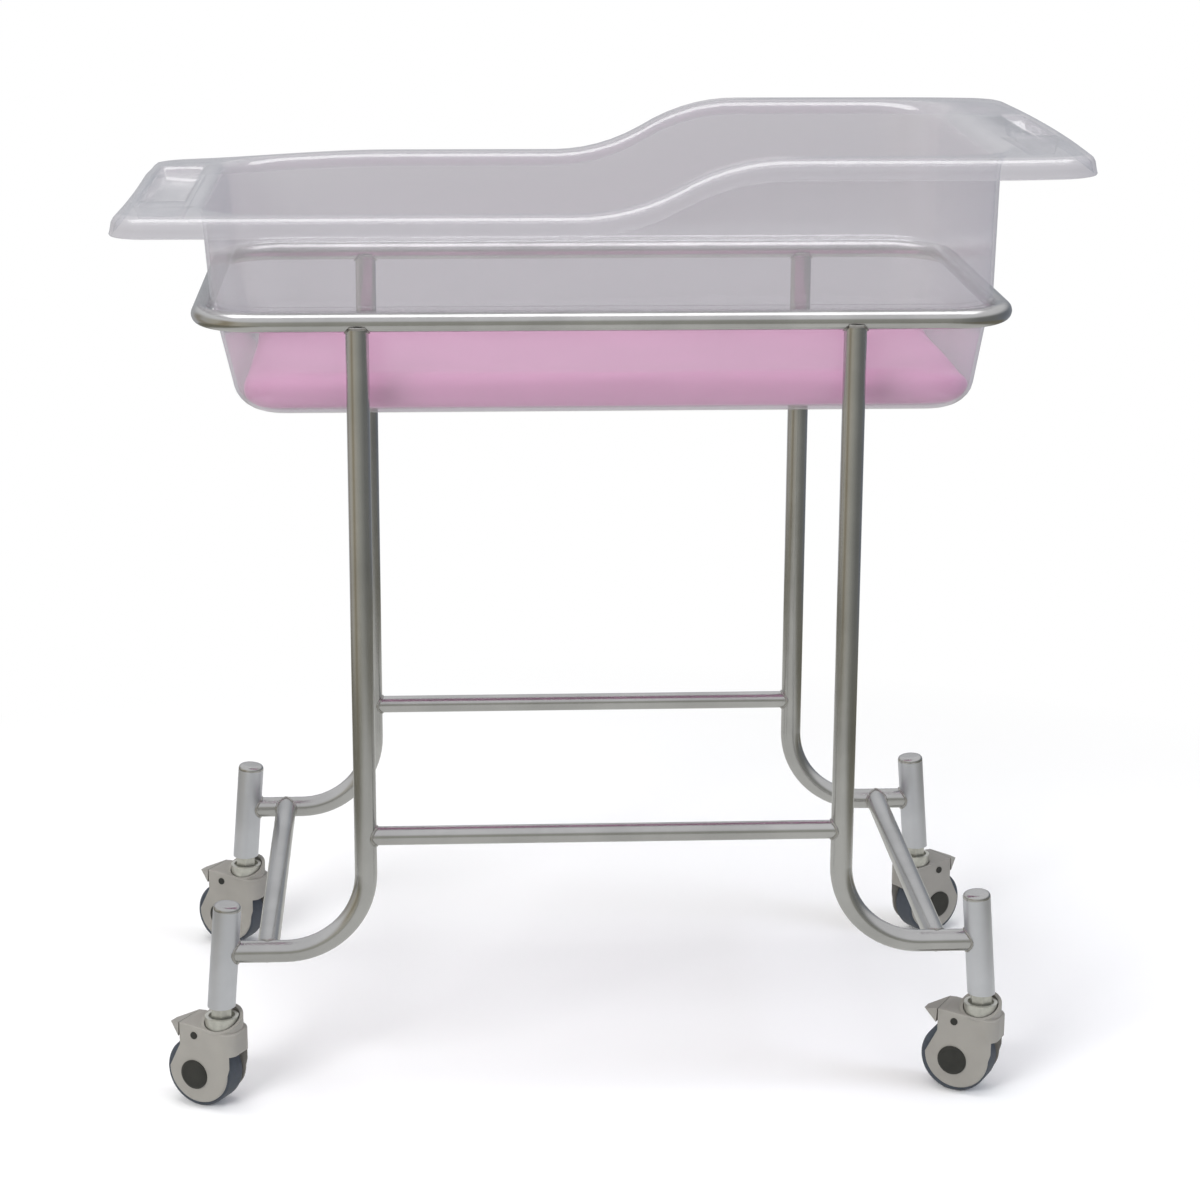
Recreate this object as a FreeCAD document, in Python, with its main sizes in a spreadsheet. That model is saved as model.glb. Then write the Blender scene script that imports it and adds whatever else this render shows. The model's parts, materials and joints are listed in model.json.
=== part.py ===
"""Hospital bassinet: a clear tub with a mattress, lifted out of a steel tube trolley on four braked casters.

Millimetres. +X points to the head end, +Y to the left side, +Z up. The origin is on the floor under the
middle of the trolley.
"""
import FreeCAD, Part
import math
import os

import Sketcher

VECTOR = FreeCAD.Vector
UP = VECTOR(0, 0, 1)
CLOSE = 1e-4

SIZES = {
    # Rim of the tub: the bassinet's length, width and height, which the ring and the trolley follow
    "rim_length": 800.0,
    "rim_width_head": 474.0,
    "rim_flare": 12.0,
    "rim_height_head": 820.0,
    "rim_step": 46.0,
    "rim_corner": 32.0,
    "rim_skirt": 16.5,
    "curve_start": -28.0,
    "curve_length": 170.0,
    # Steel tubes of the trolley. The insets and the drop place the ring's axis from the rim.
    "tube_wall": 1.5,
    "ring_tube": 16.0,
    "ring_inset_ends": 68.0,
    "ring_inset_sides": 50.0,
    "ring_drop": 136.0,
    "ring_corner": 50.0,
    "leg_tube": 19.0,
    "leg_inset": 129.0,
    "leg_bend": 70.0,
    "leg_overlap": 4.0,
    "foot_height": 141.0,
    "foot_run": 51.5,
    "stretcher_tube": 16.0,
    "stretcher_height": 244.0,
    "cross_tube": 19.0,
    "cross_inset": 36.5,
    # Caster posts, which lean outwards at the bottom
    "post_tube": 24.0,
    "post_wall": 2.0,
    "post_lean_angle": 4.7,
    "post_rise": 44.0,
    "cap_depth": 5.0,
    "cap_plug": 8.0,
    "cap_round": 4.0,
    "insert_length": 20.0,
    # Caster stems, which the swivelling housings turn on
    "stem_size": 10.0,
    "stem_thread": 18.0,
    "nut_flats": 17.0,
    "nut_depth": 12.0,
    "collar_size": 29.0,
    "collar_inside": 23.0,
    "collar_depth": 10.8,
    "collar_floor": 7.5,
    "flange_size": 18.0,
    "flange_depth": 3.0,
    # Caster wheels
    "wheel_size": 62.0,
    "tread_width": 26.0,
    "tread_round": 4.0,
    "hub_size": 44.0,
    "hub_width": 24.0,
    "hub_recess": 3.0,
    "hub_rim": 4.0,
    "hub_boss": 16.0,
    "trail": 18.5,
    "axle_size": 8.0,
    "hub_cap_size": 26.0,
    "hub_cap_depth": 2.0,
    # Caster housings. The crown's seat for the collar stands above the wheel, and the rest follows the seat.
    "housing_width": 34.0,
    "housing_front": 20.0,
    "housing_round": 12.0,
    "housing_edge": 1.5,
    "cheek_size": 57.6,
    "cheek_offset": 3.3,
    "cheek_lift": 3.5,
    "cheek_back": 33.4,
    "cheek_notch_drop": 11.2,
    "fairing_drop": 8.0,
    "crown_gap": 10.2,
    "crown_web": 4.6,
    "crown_rise": 4.3,
    "crown_rise_back": 3.8,
    "crown_slope_start": 28.0,
    "cup_size": 36.6,
    "cup_inside": 30.6,
    "cup_rise_low": 0.4,
    "cup_rise_high": 15.3,
    "wheel_gap": 2.0,
    "wheel_side_gap": 1.2,
    # Brake pedals
    "pedal_pin": 5.0,
    "pedal_pin_head": 6.4,
    "pedal_pin_head_depth": 0.8,
    "pedal_pin_back": 17.8,
    "pedal_pin_gap": 5.2,
    "pedal_width": 33.0,
    "pedal_tip_width": 9.0,
    "pedal_reach": 50.0,
    "pedal_tip_rise": 2.5,
    "pedal_gap": 0.4,
    "beak_lean": 1.4,
    "beak_drop": 4.4,
    "lever_width": 19.4,
    "lever_front": 5.3,
    "lever_end": 17.6,
    "lever_top": 3.6,
    "lever_bottom": 3.8,
    "pedal_slot_depth": 7.3,
    "pedal_slot_rise": 5.7,
    # Clearances
    "running": 0.05,
    "seat_gap": 0.3,
    # Tub. Its neck hangs inside the ring and its shoulder lies on it; drafts and tapers widen it upwards.
    "tub_wall": 3.0,
    "tub_depth": 220.0,
    "draft_foot": 10.2,
    "draft_head": 1.5,
    "draft_sides": 13.0,
    "basin_top_corner": 58.0,
    "shoulder_inset_ends": 8.6,
    "shoulder_outset_sides": 3.0,
    "shoulder_corner": 52.0,
    "neck_gap": 1.6,
    "neck_corner": 44.0,
    "taper_foot": 19.4,
    "taper_head": 12.4,
    "taper_sides": 18.4,
    "basin_bottom_corner": 42.0,
    "basin_round": 20.0,
    # Tray in the foot shelf and card slot in the head shelf, with their distances from basin and rim
    "tray_basin_gap": 9.4,
    "tray_rim_gap": 14.0,
    "tray_width": 250.0,
    "tray_depth": 14.0,
    "tray_slope": 6.0,
    "tray_corner": 8.0,
    "slot_basin_gap": 40.1,
    "slot_rim_gap": 13.0,
    "slot_width": 122.0,
    "slot_depth": 15.0,
    "slot_slope": 1.5,
    "slot_corner": 4.0,
    # Mattress
    "mattress_end_gap": 5.5,
    "mattress_side_gap": 5.0,
    "mattress_depth": 28.0,
    "mattress_corner": 45.0,
    "mattress_round": 12.0,
}

# Places that several pieces share: the ring's axis, the legs', the posts' at the foot tubes, and the casters'
RING_X = "(dim.rim_length / 2 - dim.ring_inset_ends)"
RING_Y = "(dim.rim_width_head / 2 - dim.ring_inset_sides)"
RING_Z = "(dim.rim_height_head - dim.ring_drop)"
LEG_X = f"({RING_X} - dim.leg_inset)"
POST_X = f"({LEG_X} + dim.leg_bend + dim.foot_run)"
SEAT = "(dim.wheel_size + dim.crown_gap)"
COLLAR_BOTTOM = f"({SEAT} + dim.seat_gap)"
NUT_BOTTOM = f"({COLLAR_BOTTOM} + dim.collar_floor)"
POST_BOTTOM = f"({NUT_BOTTOM} + dim.nut_depth)"
POST_DROP = f"(dim.foot_height - {POST_BOTTOM})"
LEAN = "dim.post_lean_angle"
CASTER_X = f"({POST_X} + {POST_DROP} * tan({LEAN}))"
PIN_HEIGHT = "(dim.wheel_size + dim.pedal_pin_gap)"

# Each corner of the trolley: name, end (+1 head, -1 foot), side (+1 left, -1 right), the direction in
# which the caster trails at rest in degrees, and which of its sides the raised edge of its cup is on.
CORNERS = [
    ("foot_right", -1, -1, 150.0, -1),
    ("foot_left", -1, 1, 150.0, -1),
    ("head_right", 1, -1, 150.0, -1),
    ("head_left", 1, 1, 31.0, 0),
]

doc = FreeCAD.newDocument("bassinet")
sheet = doc.addObject("Spreadsheet::Sheet", "dim")
for row, (alias, size) in enumerate(SIZES.items(), start=1):
    sheet.set(f"A{row}", alias)
    sheet.set(f"B{row}", str(size))
    sheet.setAlias(f"B{row}", alias)
doc.recompute()

nodes = []


def value(expression):
    """What an expression of the sheet's sizes comes to, in millimetres."""
    return float(sheet.evalExpression(expression))


# ---------------------------------------------------------------- documents and sketches


def new_body(label):
    body = doc.addObject("PartDesign::Body", label)
    body.Label = label
    return body


def new_sketch(body, role, offset="0"):
    """A sketch on one of the body's own origin planes, raised along that plane's normal."""
    plane = next(item for item in body.Origin.OriginFeatures if item.Role == role)
    sketch = body.newObject("Sketcher::SketchObject", "sketch")
    sketch.AttachmentSupport = [(plane, "")]
    sketch.MapMode = "FlatFace"
    if offset != "0":
        sketch.setExpression("AttachmentOffset.Base.z", offset)
    return sketch


def bind(sketch, constraint, name, expression):
    """Adds a dimension to the sketch and ties it to the sheet."""
    index = sketch.addConstraint(constraint)
    sketch.renameConstraint(index, name)
    sketch.setExpression(f"Constraints.{name}", expression)


def pin_point(sketch, geometry, end, x, y):
    """Fixes one end or centre of a sketch's geometry at x, y."""
    tag = f"g{geometry}e{end}"
    bind(sketch, Sketcher.Constraint("DistanceX", -1, 1, geometry, end, value(x)), f"x{tag}", x)
    bind(sketch, Sketcher.Constraint("DistanceY", -1, 1, geometry, end, value(y)), f"y{tag}", y)


def add_circle(sketch, x, y, radius):
    centre = VECTOR(value(x), value(y), 0)
    circle = sketch.addGeometry(Part.Circle(centre, UP, value(radius)))
    pin_point(sketch, circle, 3, x, y)
    bind(sketch, Sketcher.Constraint("Radius", circle, value(radius)), f"r{circle}", radius)


def add_polygon(sketch, points):
    """A closed outline with straight sides through the points."""
    places = [VECTOR(value(x), value(y), 0) for x, y in points]
    first = sketch.GeometryCount
    count = len(places)
    for step in range(count):
        sketch.addGeometry(Part.LineSegment(places[step], places[(step + 1) % count]))
    for step in range(count):
        following = first + (step + 1) % count
        sketch.addConstraint(Sketcher.Constraint("Coincident", first + step, 2, following, 1))
        pin_point(sketch, first + step, 1, *points[step])


def add_rounded_box(sketch, x_low, x_high, width, radius):
    """A rectangle from x_low to x_high, centred on the X axis, with round corners."""
    left, right = value(x_low), value(x_high)
    half, turn = value(width) / 2, value(radius)
    first = sketch.GeometryCount
    corners = [(right, half, 0), (left, half, 90), (left, -half, 180), (right, -half, 270)]
    for x, y, start in corners:
        centre = VECTOR(x - math.copysign(turn, x - (left + right) / 2), y - math.copysign(turn, y), 0)
        angles = math.radians(start), math.radians(start + 90)
        sketch.addGeometry(Part.ArcOfCircle(Part.Circle(centre, UP, turn), *angles))
    sides = [
        ((right - turn, half), (left + turn, half)),
        ((left, half - turn), (left, turn - half)),
        ((left + turn, -half), (right - turn, -half)),
        ((right, turn - half), (right, half - turn)),
    ]
    for begin, end in sides:
        sketch.addGeometry(Part.LineSegment(VECTOR(*begin, 0), VECTOR(*end, 0)))
    for step in range(4):
        arc, side, next_arc = first + step, first + 4 + step, first + (step + 1) % 4
        sketch.addConstraint(Sketcher.Constraint("Tangent", arc, 2, side, 1))
        sketch.addConstraint(Sketcher.Constraint("Tangent", side, 2, next_arc, 1))
        sketch.addConstraint(Sketcher.Constraint("Horizontal" if step % 2 == 0 else "Vertical", side))
    for arc in range(first + 1, first + 4):
        sketch.addConstraint(Sketcher.Constraint("Equal", first, arc))
    half_width = f"({width}) / 2"
    bind(sketch, Sketcher.Constraint("Radius", first, turn), f"r{first}", radius)
    bind(sketch, Sketcher.Constraint("DistanceX", -1, 1, first + 5, 1, left), f"left{first}", x_low)
    bind(sketch, Sketcher.Constraint("DistanceX", -1, 1, first + 7, 1, right), f"right{first}", x_high)
    bind(sketch, Sketcher.Constraint("DistanceY", -1, 1, first + 4, 1, half), f"top{first}", half_width)
    bind(sketch, Sketcher.Constraint("DistanceY", first + 6, 1, -1, 1, half), f"low{first}", half_width)


def add_pad(body, sketch, length, both_ways=False, backwards=False):
    pad = body.newObject("PartDesign::Pad", "pad")
    pad.Profile = sketch
    pad.setExpression("Length", length)
    pad.Midplane = both_ways
    pad.Reversed = backwards
    doc.recompute()
    return pad


def add_pocket(body, sketch, length=None):
    """Cuts the sketch both ways from its plane: right through, or as wide as the length."""
    before = body.Shape.Volume
    pocket = body.newObject("PartDesign::Pocket", "pocket")
    pocket.Profile = sketch
    pocket.Midplane = True
    if length is None:
        pocket.Type = "ThroughAll"
    else:
        pocket.setExpression("Length", length)
    doc.recompute()
    if not body.Shape.Volume < before:
        raise RuntimeError(f"{body.Label}: {pocket.Name} cuts nothing")
    return pocket


def add_revolution(body, sketch, axis_role):
    """Turns the sketch right round one of the body's own axes."""
    turn = body.newObject("PartDesign::Revolution", "revolution")
    turn.Profile = sketch
    axis = next(item for item in body.Origin.OriginFeatures if item.Role == axis_role)
    turn.ReferenceAxis = (axis, [""])
    turn.Angle = 360
    doc.recompute()
    return turn


def add_pipe(body, section, path):
    """Sweeps the section along the path."""
    pipe = body.newObject("PartDesign::AdditivePipe", "pipe")
    pipe.Profile = section
    pipe.Spine = path
    doc.recompute()
    return pipe


def add_loft(body, sketches):
    loft = body.newObject("PartDesign::AdditiveLoft", "loft")
    loft.Profile = sketches[0]
    loft.Sections = sketches[1:]
    loft.Ruled = True
    doc.recompute()
    return loft


def add_fillet(body, edges, radius):
    base = body.Tip
    fillet = body.newObject("PartDesign::Fillet", "fillet")
    fillet.Base = (base, edges)
    fillet.setExpression("Radius", radius)
    doc.recompute()
    return fillet


def edges_where(shape, test):
    """Names of the shape's edges that pass the test."""
    return [f"Edge{number}" for number, edge in enumerate(shape.Edges, start=1) if test(edge)]


def place(feature, x="0", y="0", z="0", angle=0.0):
    """Turns the feature about +Z and moves it to a place tied to the sheet."""
    feature.Placement = FreeCAD.Placement(VECTOR(0, 0, 0), FreeCAD.Rotation(UP, angle))
    for name, expression in (("x", x), ("y", y), ("z", z)):
        feature.setExpression(f"Placement.Base.{name}", expression)


def lean(feature, frame, direction, x, y, z):
    """Turns a feature's Placement or AttachmentOffset about +Y or -Y by the posts' lean, and moves it."""
    turn = FreeCAD.Rotation(VECTOR(0, direction, 0), value(LEAN))
    setattr(feature, frame, FreeCAD.Placement(VECTOR(0, 0, 0), turn))
    for name, expression in (("Base.x", x), ("Base.y", y), ("Base.z", z), ("Rotation.Angle", LEAN)):
        feature.setExpression(f"{frame}.{name}", expression)


def boolean(kind, label, *shapes):
    """Part::Cut, Part::Common or Part::MultiFuse of other features."""
    result = doc.addObject(kind, label)
    result.Label = label
    if kind == "Part::MultiFuse":
        result.Shapes = list(shapes)
    else:
        result.Base, result.Tool = shapes
    doc.recompute()
    return result


def keep(feature):
    """Marks a feature as a piece of the bassinet, written under its label."""
    nodes.append(feature)
    return feature


# ---------------------------------------------------------------- trolley


def support_ring():
    """The rectangular hoop with round corners: half of it swept round two corners, and its mirror image."""
    body = new_body("support_ring")
    section = new_sketch(body, "XZ_Plane")
    add_tube_section(section, RING_X, RING_Z, "dim.ring_tube", "dim.tube_wall")
    path = new_sketch(body, "XY_Plane", RING_Z)
    half_length, half_width = value(RING_X), value(RING_Y)
    bend = value("dim.ring_corner")
    x_bend, y_bend = half_length - bend, half_width - bend
    head_bend = Part.Circle(VECTOR(x_bend, y_bend, 0), UP, bend)
    foot_bend = Part.Circle(VECTOR(-x_bend, y_bend, 0), UP, bend)
    path.addGeometry(Part.LineSegment(VECTOR(half_length, 0, 0), VECTOR(half_length, y_bend, 0)))
    path.addGeometry(Part.ArcOfCircle(head_bend, 0, 0.5 * math.pi))
    path.addGeometry(Part.LineSegment(VECTOR(x_bend, half_width, 0), VECTOR(-x_bend, half_width, 0)))
    path.addGeometry(Part.ArcOfCircle(foot_bend, 0.5 * math.pi, math.pi))
    path.addGeometry(Part.LineSegment(VECTOR(-half_length, y_bend, 0), VECTOR(-half_length, 0, 0)))
    for step in range(4):
        path.addConstraint(Sketcher.Constraint("Tangent", step, 2, step + 1, 1))
    for line, direction in ((0, "Vertical"), (2, "Horizontal"), (4, "Vertical")):
        path.addConstraint(Sketcher.Constraint(direction, line))
    path.addConstraint(Sketcher.Constraint("Equal", 1, 3))
    pin_point(path, 0, 1, RING_X, "0")
    pin_point(path, 4, 2, f"-{RING_X}", "0")
    bind(path, Sketcher.Constraint("Radius", 1, bend), "bend", "dim.ring_corner")
    side = Sketcher.Constraint("DistanceY", -1, 1, 2, 1, half_width)
    bind(path, side, "side", RING_Y)
    pipe = add_pipe(body, section, path)
    mirrored = body.newObject("PartDesign::Mirrored", "mirrored")
    mirrored.Originals = [pipe]
    plane = next(item for item in body.Origin.OriginFeatures if item.Role == "XZ_Plane")
    mirrored.MirrorPlane = (plane, [""])
    body.Tip = mirrored
    doc.recompute()
    return keep(body)


def add_tube_section(sketch, x, y, size, wall):
    add_circle(sketch, x, y, f"{size} / 2")
    add_circle(sketch, x, y, f"{size} / 2 - {wall}")


def leg(name, end, side):
    """A leg from under the ring, bent outwards at the bottom to end on the side of the caster post."""
    body = new_body(f"leg_{name}")
    top = f"{RING_Z} - dim.leg_overlap"
    section = new_sketch(body, "XY_Plane", top)
    add_tube_section(section, LEG_X, "0", "dim.leg_tube", "dim.tube_wall")
    path = new_sketch(body, "XZ_Plane")
    x_leg, z_top, z_foot = value(LEG_X), value(top), value("dim.foot_height")
    bend, x_post = value("dim.leg_bend"), value(POST_X)
    path.addGeometry(Part.LineSegment(VECTOR(x_leg, z_top, 0), VECTOR(x_leg, z_foot + bend, 0)))
    centre = VECTOR(x_leg + bend, z_foot + bend, 0)
    path.addGeometry(Part.ArcOfCircle(Part.Circle(centre, UP, bend), math.pi, 1.5 * math.pi))
    path.addGeometry(Part.LineSegment(VECTOR(x_leg + bend, z_foot, 0), VECTOR(x_post, z_foot, 0)))
    path.addConstraint(Sketcher.Constraint("Vertical", 0))
    path.addConstraint(Sketcher.Constraint("Horizontal", 2))
    path.addConstraint(Sketcher.Constraint("Tangent", 0, 2, 1, 1))
    path.addConstraint(Sketcher.Constraint("Tangent", 1, 2, 2, 1))
    pin_point(path, 0, 1, LEG_X, top)
    pin_point(path, 2, 2, POST_X, "dim.foot_height")
    bind(path, Sketcher.Constraint("Radius", 1, bend), "bend", "dim.leg_bend")
    add_pipe(body, section, path)
    ring_notch = new_sketch(body, "YZ_Plane")
    add_circle(ring_notch, "0", RING_Z, "dim.ring_tube / 2")
    add_pocket(body, ring_notch)
    post_notch = new_sketch(body, "XY_Plane")
    lean(post_notch, "AttachmentOffset", -1, POST_X, "0", "dim.foot_height")
    add_circle(post_notch, "0", "0", "dim.post_tube / 2")
    add_pocket(body, post_notch)
    place(body, y=f"{side} * {RING_Y}", angle=0 if end > 0 else 180)
    return keep(body)


def stretcher(name, side):
    """A long tube between the two legs of one side, its ends shaped to the legs."""
    body = new_body(f"stretcher_{name}")
    section = new_sketch(body, "YZ_Plane")
    add_tube_section(section, "0", "dim.stretcher_height", "dim.stretcher_tube", "dim.tube_wall")
    add_pad(body, section, f"2 * {LEG_X}", both_ways=True)
    notches = new_sketch(body, "XY_Plane")
    for end in (1, -1):
        add_circle(notches, f"{end} * {LEG_X}", "0", "dim.leg_tube / 2")
    add_pocket(body, notches)
    place(body, y=f"{side} * {RING_Y}")
    return keep(body)


def cross_bar(name, end):
    """A tube across the trolley between the foot tubes of one end, its ends shaped to them."""
    body = new_body(f"cross_bar_{name}")
    section = new_sketch(body, "XZ_Plane")
    add_tube_section(section, "0", "dim.foot_height", "dim.cross_tube", "dim.tube_wall")
    add_pad(body, section, f"2 * {RING_Y}", both_ways=True)
    notches = new_sketch(body, "YZ_Plane")
    for side in (1, -1):
        add_circle(notches, f"{side} * {RING_Y}", "dim.foot_height", "dim.leg_tube / 2")
    add_pocket(body, notches)
    place(body, x=f"{end} * ({POST_X} - dim.cross_inset)")
    return keep(body)


def on_post(feature, end, side):
    """Puts a feature on the leaning axis of one caster post. Its Z axis is the post's, 0 at the foot tube."""
    lean(feature, "Placement", -end, f"{end} * {POST_X}", f"{side} * {RING_Y}", "dim.foot_height")
    return feature


def at_caster(feature, end, side, angle=0.0):
    """Puts a feature made about the Z axis on the upright axis that one caster swivels about."""
    place(feature, f"{end} * {CASTER_X}", f"{side} * {RING_Y}", "0", angle)
    return feature


def cut_post_bottom(body, end):
    """Cuts a feature of a leaning post off level at the post's bottom."""
    below = new_sketch(body, "XZ_Plane")
    corners = []
    for x_side in (-1, 1):
        slant = f"{x_side * end} * dim.post_tube * sin({LEAN})"
        corners.append((f"{x_side} * dim.post_tube", f"-({POST_DROP} + {slant}) / cos({LEAN})"))
    low = f"-(2 * {POST_DROP} + dim.post_tube)"
    add_polygon(below, [*corners, ("dim.post_tube", low), ("-dim.post_tube", low)])
    add_pocket(body, below)


def caster_post(name, end, side):
    body = new_body(f"caster_post_{name}")
    section = new_sketch(body, "XY_Plane", f"-({POST_DROP} + dim.post_tube)")
    add_tube_section(section, "0", "0", "dim.post_tube", "dim.post_wall")
    add_pad(body, section, f"{POST_DROP} + dim.post_tube + dim.post_rise - dim.cap_depth")
    cut_post_bottom(body, end)
    return keep(on_post(body, end, side))


def turned(label, points):
    """A body turned about the Z axis from an outline of radius and height."""
    body = new_body(label)
    sketch = new_sketch(body, "XZ_Plane")
    add_polygon(sketch, points)
    add_revolution(body, sketch, "Z_Axis")
    return body


def post_cap(name, end, side):
    """A rounded steel cap, its plug inside the top of the post."""
    plug = "dim.post_tube / 2 - dim.post_wall"
    seat = "dim.post_rise - dim.cap_depth"
    outline = [
        ("0", f"{seat} - dim.cap_plug"),
        (plug, f"{seat} - dim.cap_plug"),
        (plug, seat),
        ("dim.post_tube / 2", seat),
        ("dim.post_tube / 2", "dim.post_rise"),
        ("0", "dim.post_rise"),
    ]
    body = turned(f"post_cap_{name}", outline)
    top = value("dim.post_rise")
    rim = edges_where(body.Shape, lambda e: e.Length > 1 and abs(e.BoundBox.ZMin - top) < CLOSE)
    add_fillet(body, rim, "dim.cap_round")
    return on_post(body, end, side)


def post_insert(name, end, side):
    """The plug welded into the bottom of the post, with the upright threaded hole for the stem."""
    body = new_body(f"post_insert_{name}")
    sketch = new_sketch(body, "XY_Plane", f"-({POST_DROP} + dim.post_tube)")
    add_circle(sketch, "0", "0", "dim.post_tube / 2 - dim.post_wall")
    add_pad(body, sketch, "dim.post_tube + dim.insert_length")
    cut_post_bottom(body, end)
    bore = new_sketch(body, "XY_Plane")
    lean(bore, "AttachmentOffset", end, "0", "0", f"-{POST_DROP} / cos({LEAN})")
    add_circle(bore, "0", "0", "dim.stem_size / 2")
    add_pocket(body, bore)
    return on_post(body, end, side)


def stem(name, end, side):
    """The stem: a thread up into the post, and a flange under the housing that hangs on it."""
    flange_top = f"{SEAT} - dim.crown_web - dim.seat_gap"
    outline = [
        ("0", f"{flange_top} - dim.flange_depth"),
        ("dim.flange_size / 2", f"{flange_top} - dim.flange_depth"),
        ("dim.flange_size / 2", flange_top),
        ("dim.stem_size / 2", flange_top),
        ("dim.stem_size / 2", f"{POST_BOTTOM} + dim.stem_thread"),
        ("0", f"{POST_BOTTOM} + dim.stem_thread"),
    ]
    return at_caster(turned(f"stem_{name}", outline), end, side)


def stem_collar(name, end, side):
    """The bearing cup on the stem, open at the top round the nut."""
    outline = [
        ("dim.stem_size / 2", COLLAR_BOTTOM),
        ("dim.collar_size / 2", COLLAR_BOTTOM),
        ("dim.collar_size / 2", f"{COLLAR_BOTTOM} + dim.collar_depth"),
        ("dim.collar_inside / 2", f"{COLLAR_BOTTOM} + dim.collar_depth"),
        ("dim.collar_inside / 2", NUT_BOTTOM),
        ("dim.stem_size / 2", NUT_BOTTOM),
    ]
    return at_caster(turned(f"stem_collar_{name}", outline), end, side)


def stem_nut(name, end, side, angle):
    """The hexagon nut that locks the stem against the post."""
    body = new_body(f"stem_nut_{name}")
    sketch = new_sketch(body, "XY_Plane", NUT_BOTTOM)
    corners = []
    for step in range(6):
        turn = math.radians(60 * step)
        reach = f"dim.nut_flats / {math.sqrt(3):.9f}"
        corners.append((f"{math.cos(turn):.9f} * {reach}", f"{math.sin(turn):.9f} * {reach}"))
    add_polygon(sketch, corners)
    add_circle(sketch, "0", "0", "dim.stem_size / 2")
    add_pad(body, sketch, "dim.nut_depth")
    return at_caster(body, end, side, angle)


def group(label, pieces):
    """One node of separate like solids."""
    compound = doc.addObject("Part::Compound", label)
    compound.Label = label
    compound.Links = pieces
    doc.recompute()
    return keep(compound)


# ---------------------------------------------------------------- casters

WHEEL_HEIGHT = "dim.wheel_size / 2"
CAVITY_WIDTH = "dim.tread_width + 2 * dim.wheel_side_gap"


def at_wheel(feature, end, side, angle):
    """Puts a feature made about its own Y axis on the axle of one caster."""
    away = math.radians(angle)
    x = f"{end} * {CASTER_X} + {math.cos(away):.9f} * dim.trail"
    y = f"{side} * {RING_Y} + {math.sin(away):.9f} * dim.trail"
    place(feature, x, y, WHEEL_HEIGHT, angle)
    return feature


def turned_about_axle(label, points):
    """A body turned about its Y axis from an outline of radius and distance along the axle."""
    body = new_body(label)
    sketch = new_sketch(body, "XY_Plane")
    add_polygon(sketch, points)
    add_revolution(body, sketch, "Y_Axis")
    return body


def wheel_hub(name, end, side, angle):
    """The wheel's core: a bored boss, a web on each side of it and a rim."""
    bore = "dim.axle_size / 2 + dim.running"
    boss_face = f"({CAVITY_WIDTH}) / 2 - dim.seat_gap"
    web_face = "dim.hub_width / 2 - dim.hub_recess"
    rim_inside = "dim.hub_size / 2 - dim.hub_rim"
    half = [
        (bore, boss_face),
        ("dim.hub_boss / 2", boss_face),
        ("dim.hub_boss / 2", web_face),
        (rim_inside, web_face),
        (rim_inside, "dim.hub_width / 2"),
        ("dim.hub_size / 2", "dim.hub_width / 2"),
    ]
    other_half = [(radius, f"-({along})") for radius, along in reversed(half)]
    body = turned_about_axle(f"wheel_hub_{name}", half + other_half)
    return keep(at_wheel(body, end, side, angle))


def wheel_tread(name, end, side, angle):
    outline = [
        ("dim.hub_size / 2", "-dim.tread_width / 2"),
        ("dim.wheel_size / 2", "-dim.tread_width / 2"),
        ("dim.wheel_size / 2", "dim.tread_width / 2"),
        ("dim.hub_size / 2", "dim.tread_width / 2"),
    ]
    body = turned_about_axle(f"wheel_tread_{name}", outline)
    outer = value("dim.wheel_size / 2")
    rims = edges_where(body.Shape, lambda e: e.BoundBox.ZMax > outer - CLOSE and e.BoundBox.YLength < CLOSE)
    add_fillet(body, rims, "dim.tread_round")
    return keep(at_wheel(body, end, side, angle))


def axle(name, end, side, angle):
    body = new_body(f"axle_{name}")
    section = new_sketch(body, "XZ_Plane")
    add_circle(section, "0", "0", "dim.axle_size / 2")
    add_pad(body, section, "dim.housing_width", both_ways=True)
    return keep(at_wheel(body, end, side, angle))


def hub_caps(name, end, side, angle):
    """The two round covers over the ends of the axle."""
    caps = []
    for face in (1, -1):
        inner = f"{face} * dim.housing_width / 2"
        outer = f"{face} * (dim.housing_width / 2 + dim.hub_cap_depth)"
        step = f"{face} * (dim.housing_width / 2 + dim.hub_cap_depth / 2)"
        outline = [
            ("0", inner),
            ("dim.hub_cap_size / 2", inner),
            ("dim.hub_cap_size / 2", step),
            ("dim.hub_cap_size / 2 - dim.hub_cap_depth", outer),
            ("0", outer),
        ]
        body = turned_about_axle(f"hub_cap_{name}_{'left' if face > 0 else 'right'}", outline)
        caps.append(at_wheel(body, end, side, angle))
    return group(f"hub_caps_{name}", caps)


def housing(name, end, side, angle, cup_side):
    """The caster's moulded housing: two cheeks joined by a crown, and the cup round the stem's collar."""
    label = f"caster_housing_{name}"
    body = new_body(f"housing_shell_{name}" if cup_side else label)
    blank = new_sketch(body, "XY_Plane")
    far_end = "dim.trail + dim.wheel_size"
    add_rounded_box(blank, "-dim.housing_front", far_end, "dim.housing_width", "dim.housing_round")
    add_pad(body, blank, f"{SEAT} + dim.crown_rise")
    cut_outside_profile(body)
    half = value("dim.housing_width / 2")
    outline = edges_where(
        body.Shape, lambda e: e.BoundBox.YLength < CLOSE and abs(abs(e.BoundBox.YMax) - half) < CLOSE
    )
    add_fillet(body, outline, "dim.housing_edge")
    cut_wheel_space(body)
    cut_bores(body)
    at_caster(body, end, side, angle)
    if not cup_side:
        return keep(body)
    return keep(boolean("Part::MultiFuse", label, body, at_caster(cup(name, cup_side), end, side, angle)))


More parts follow.
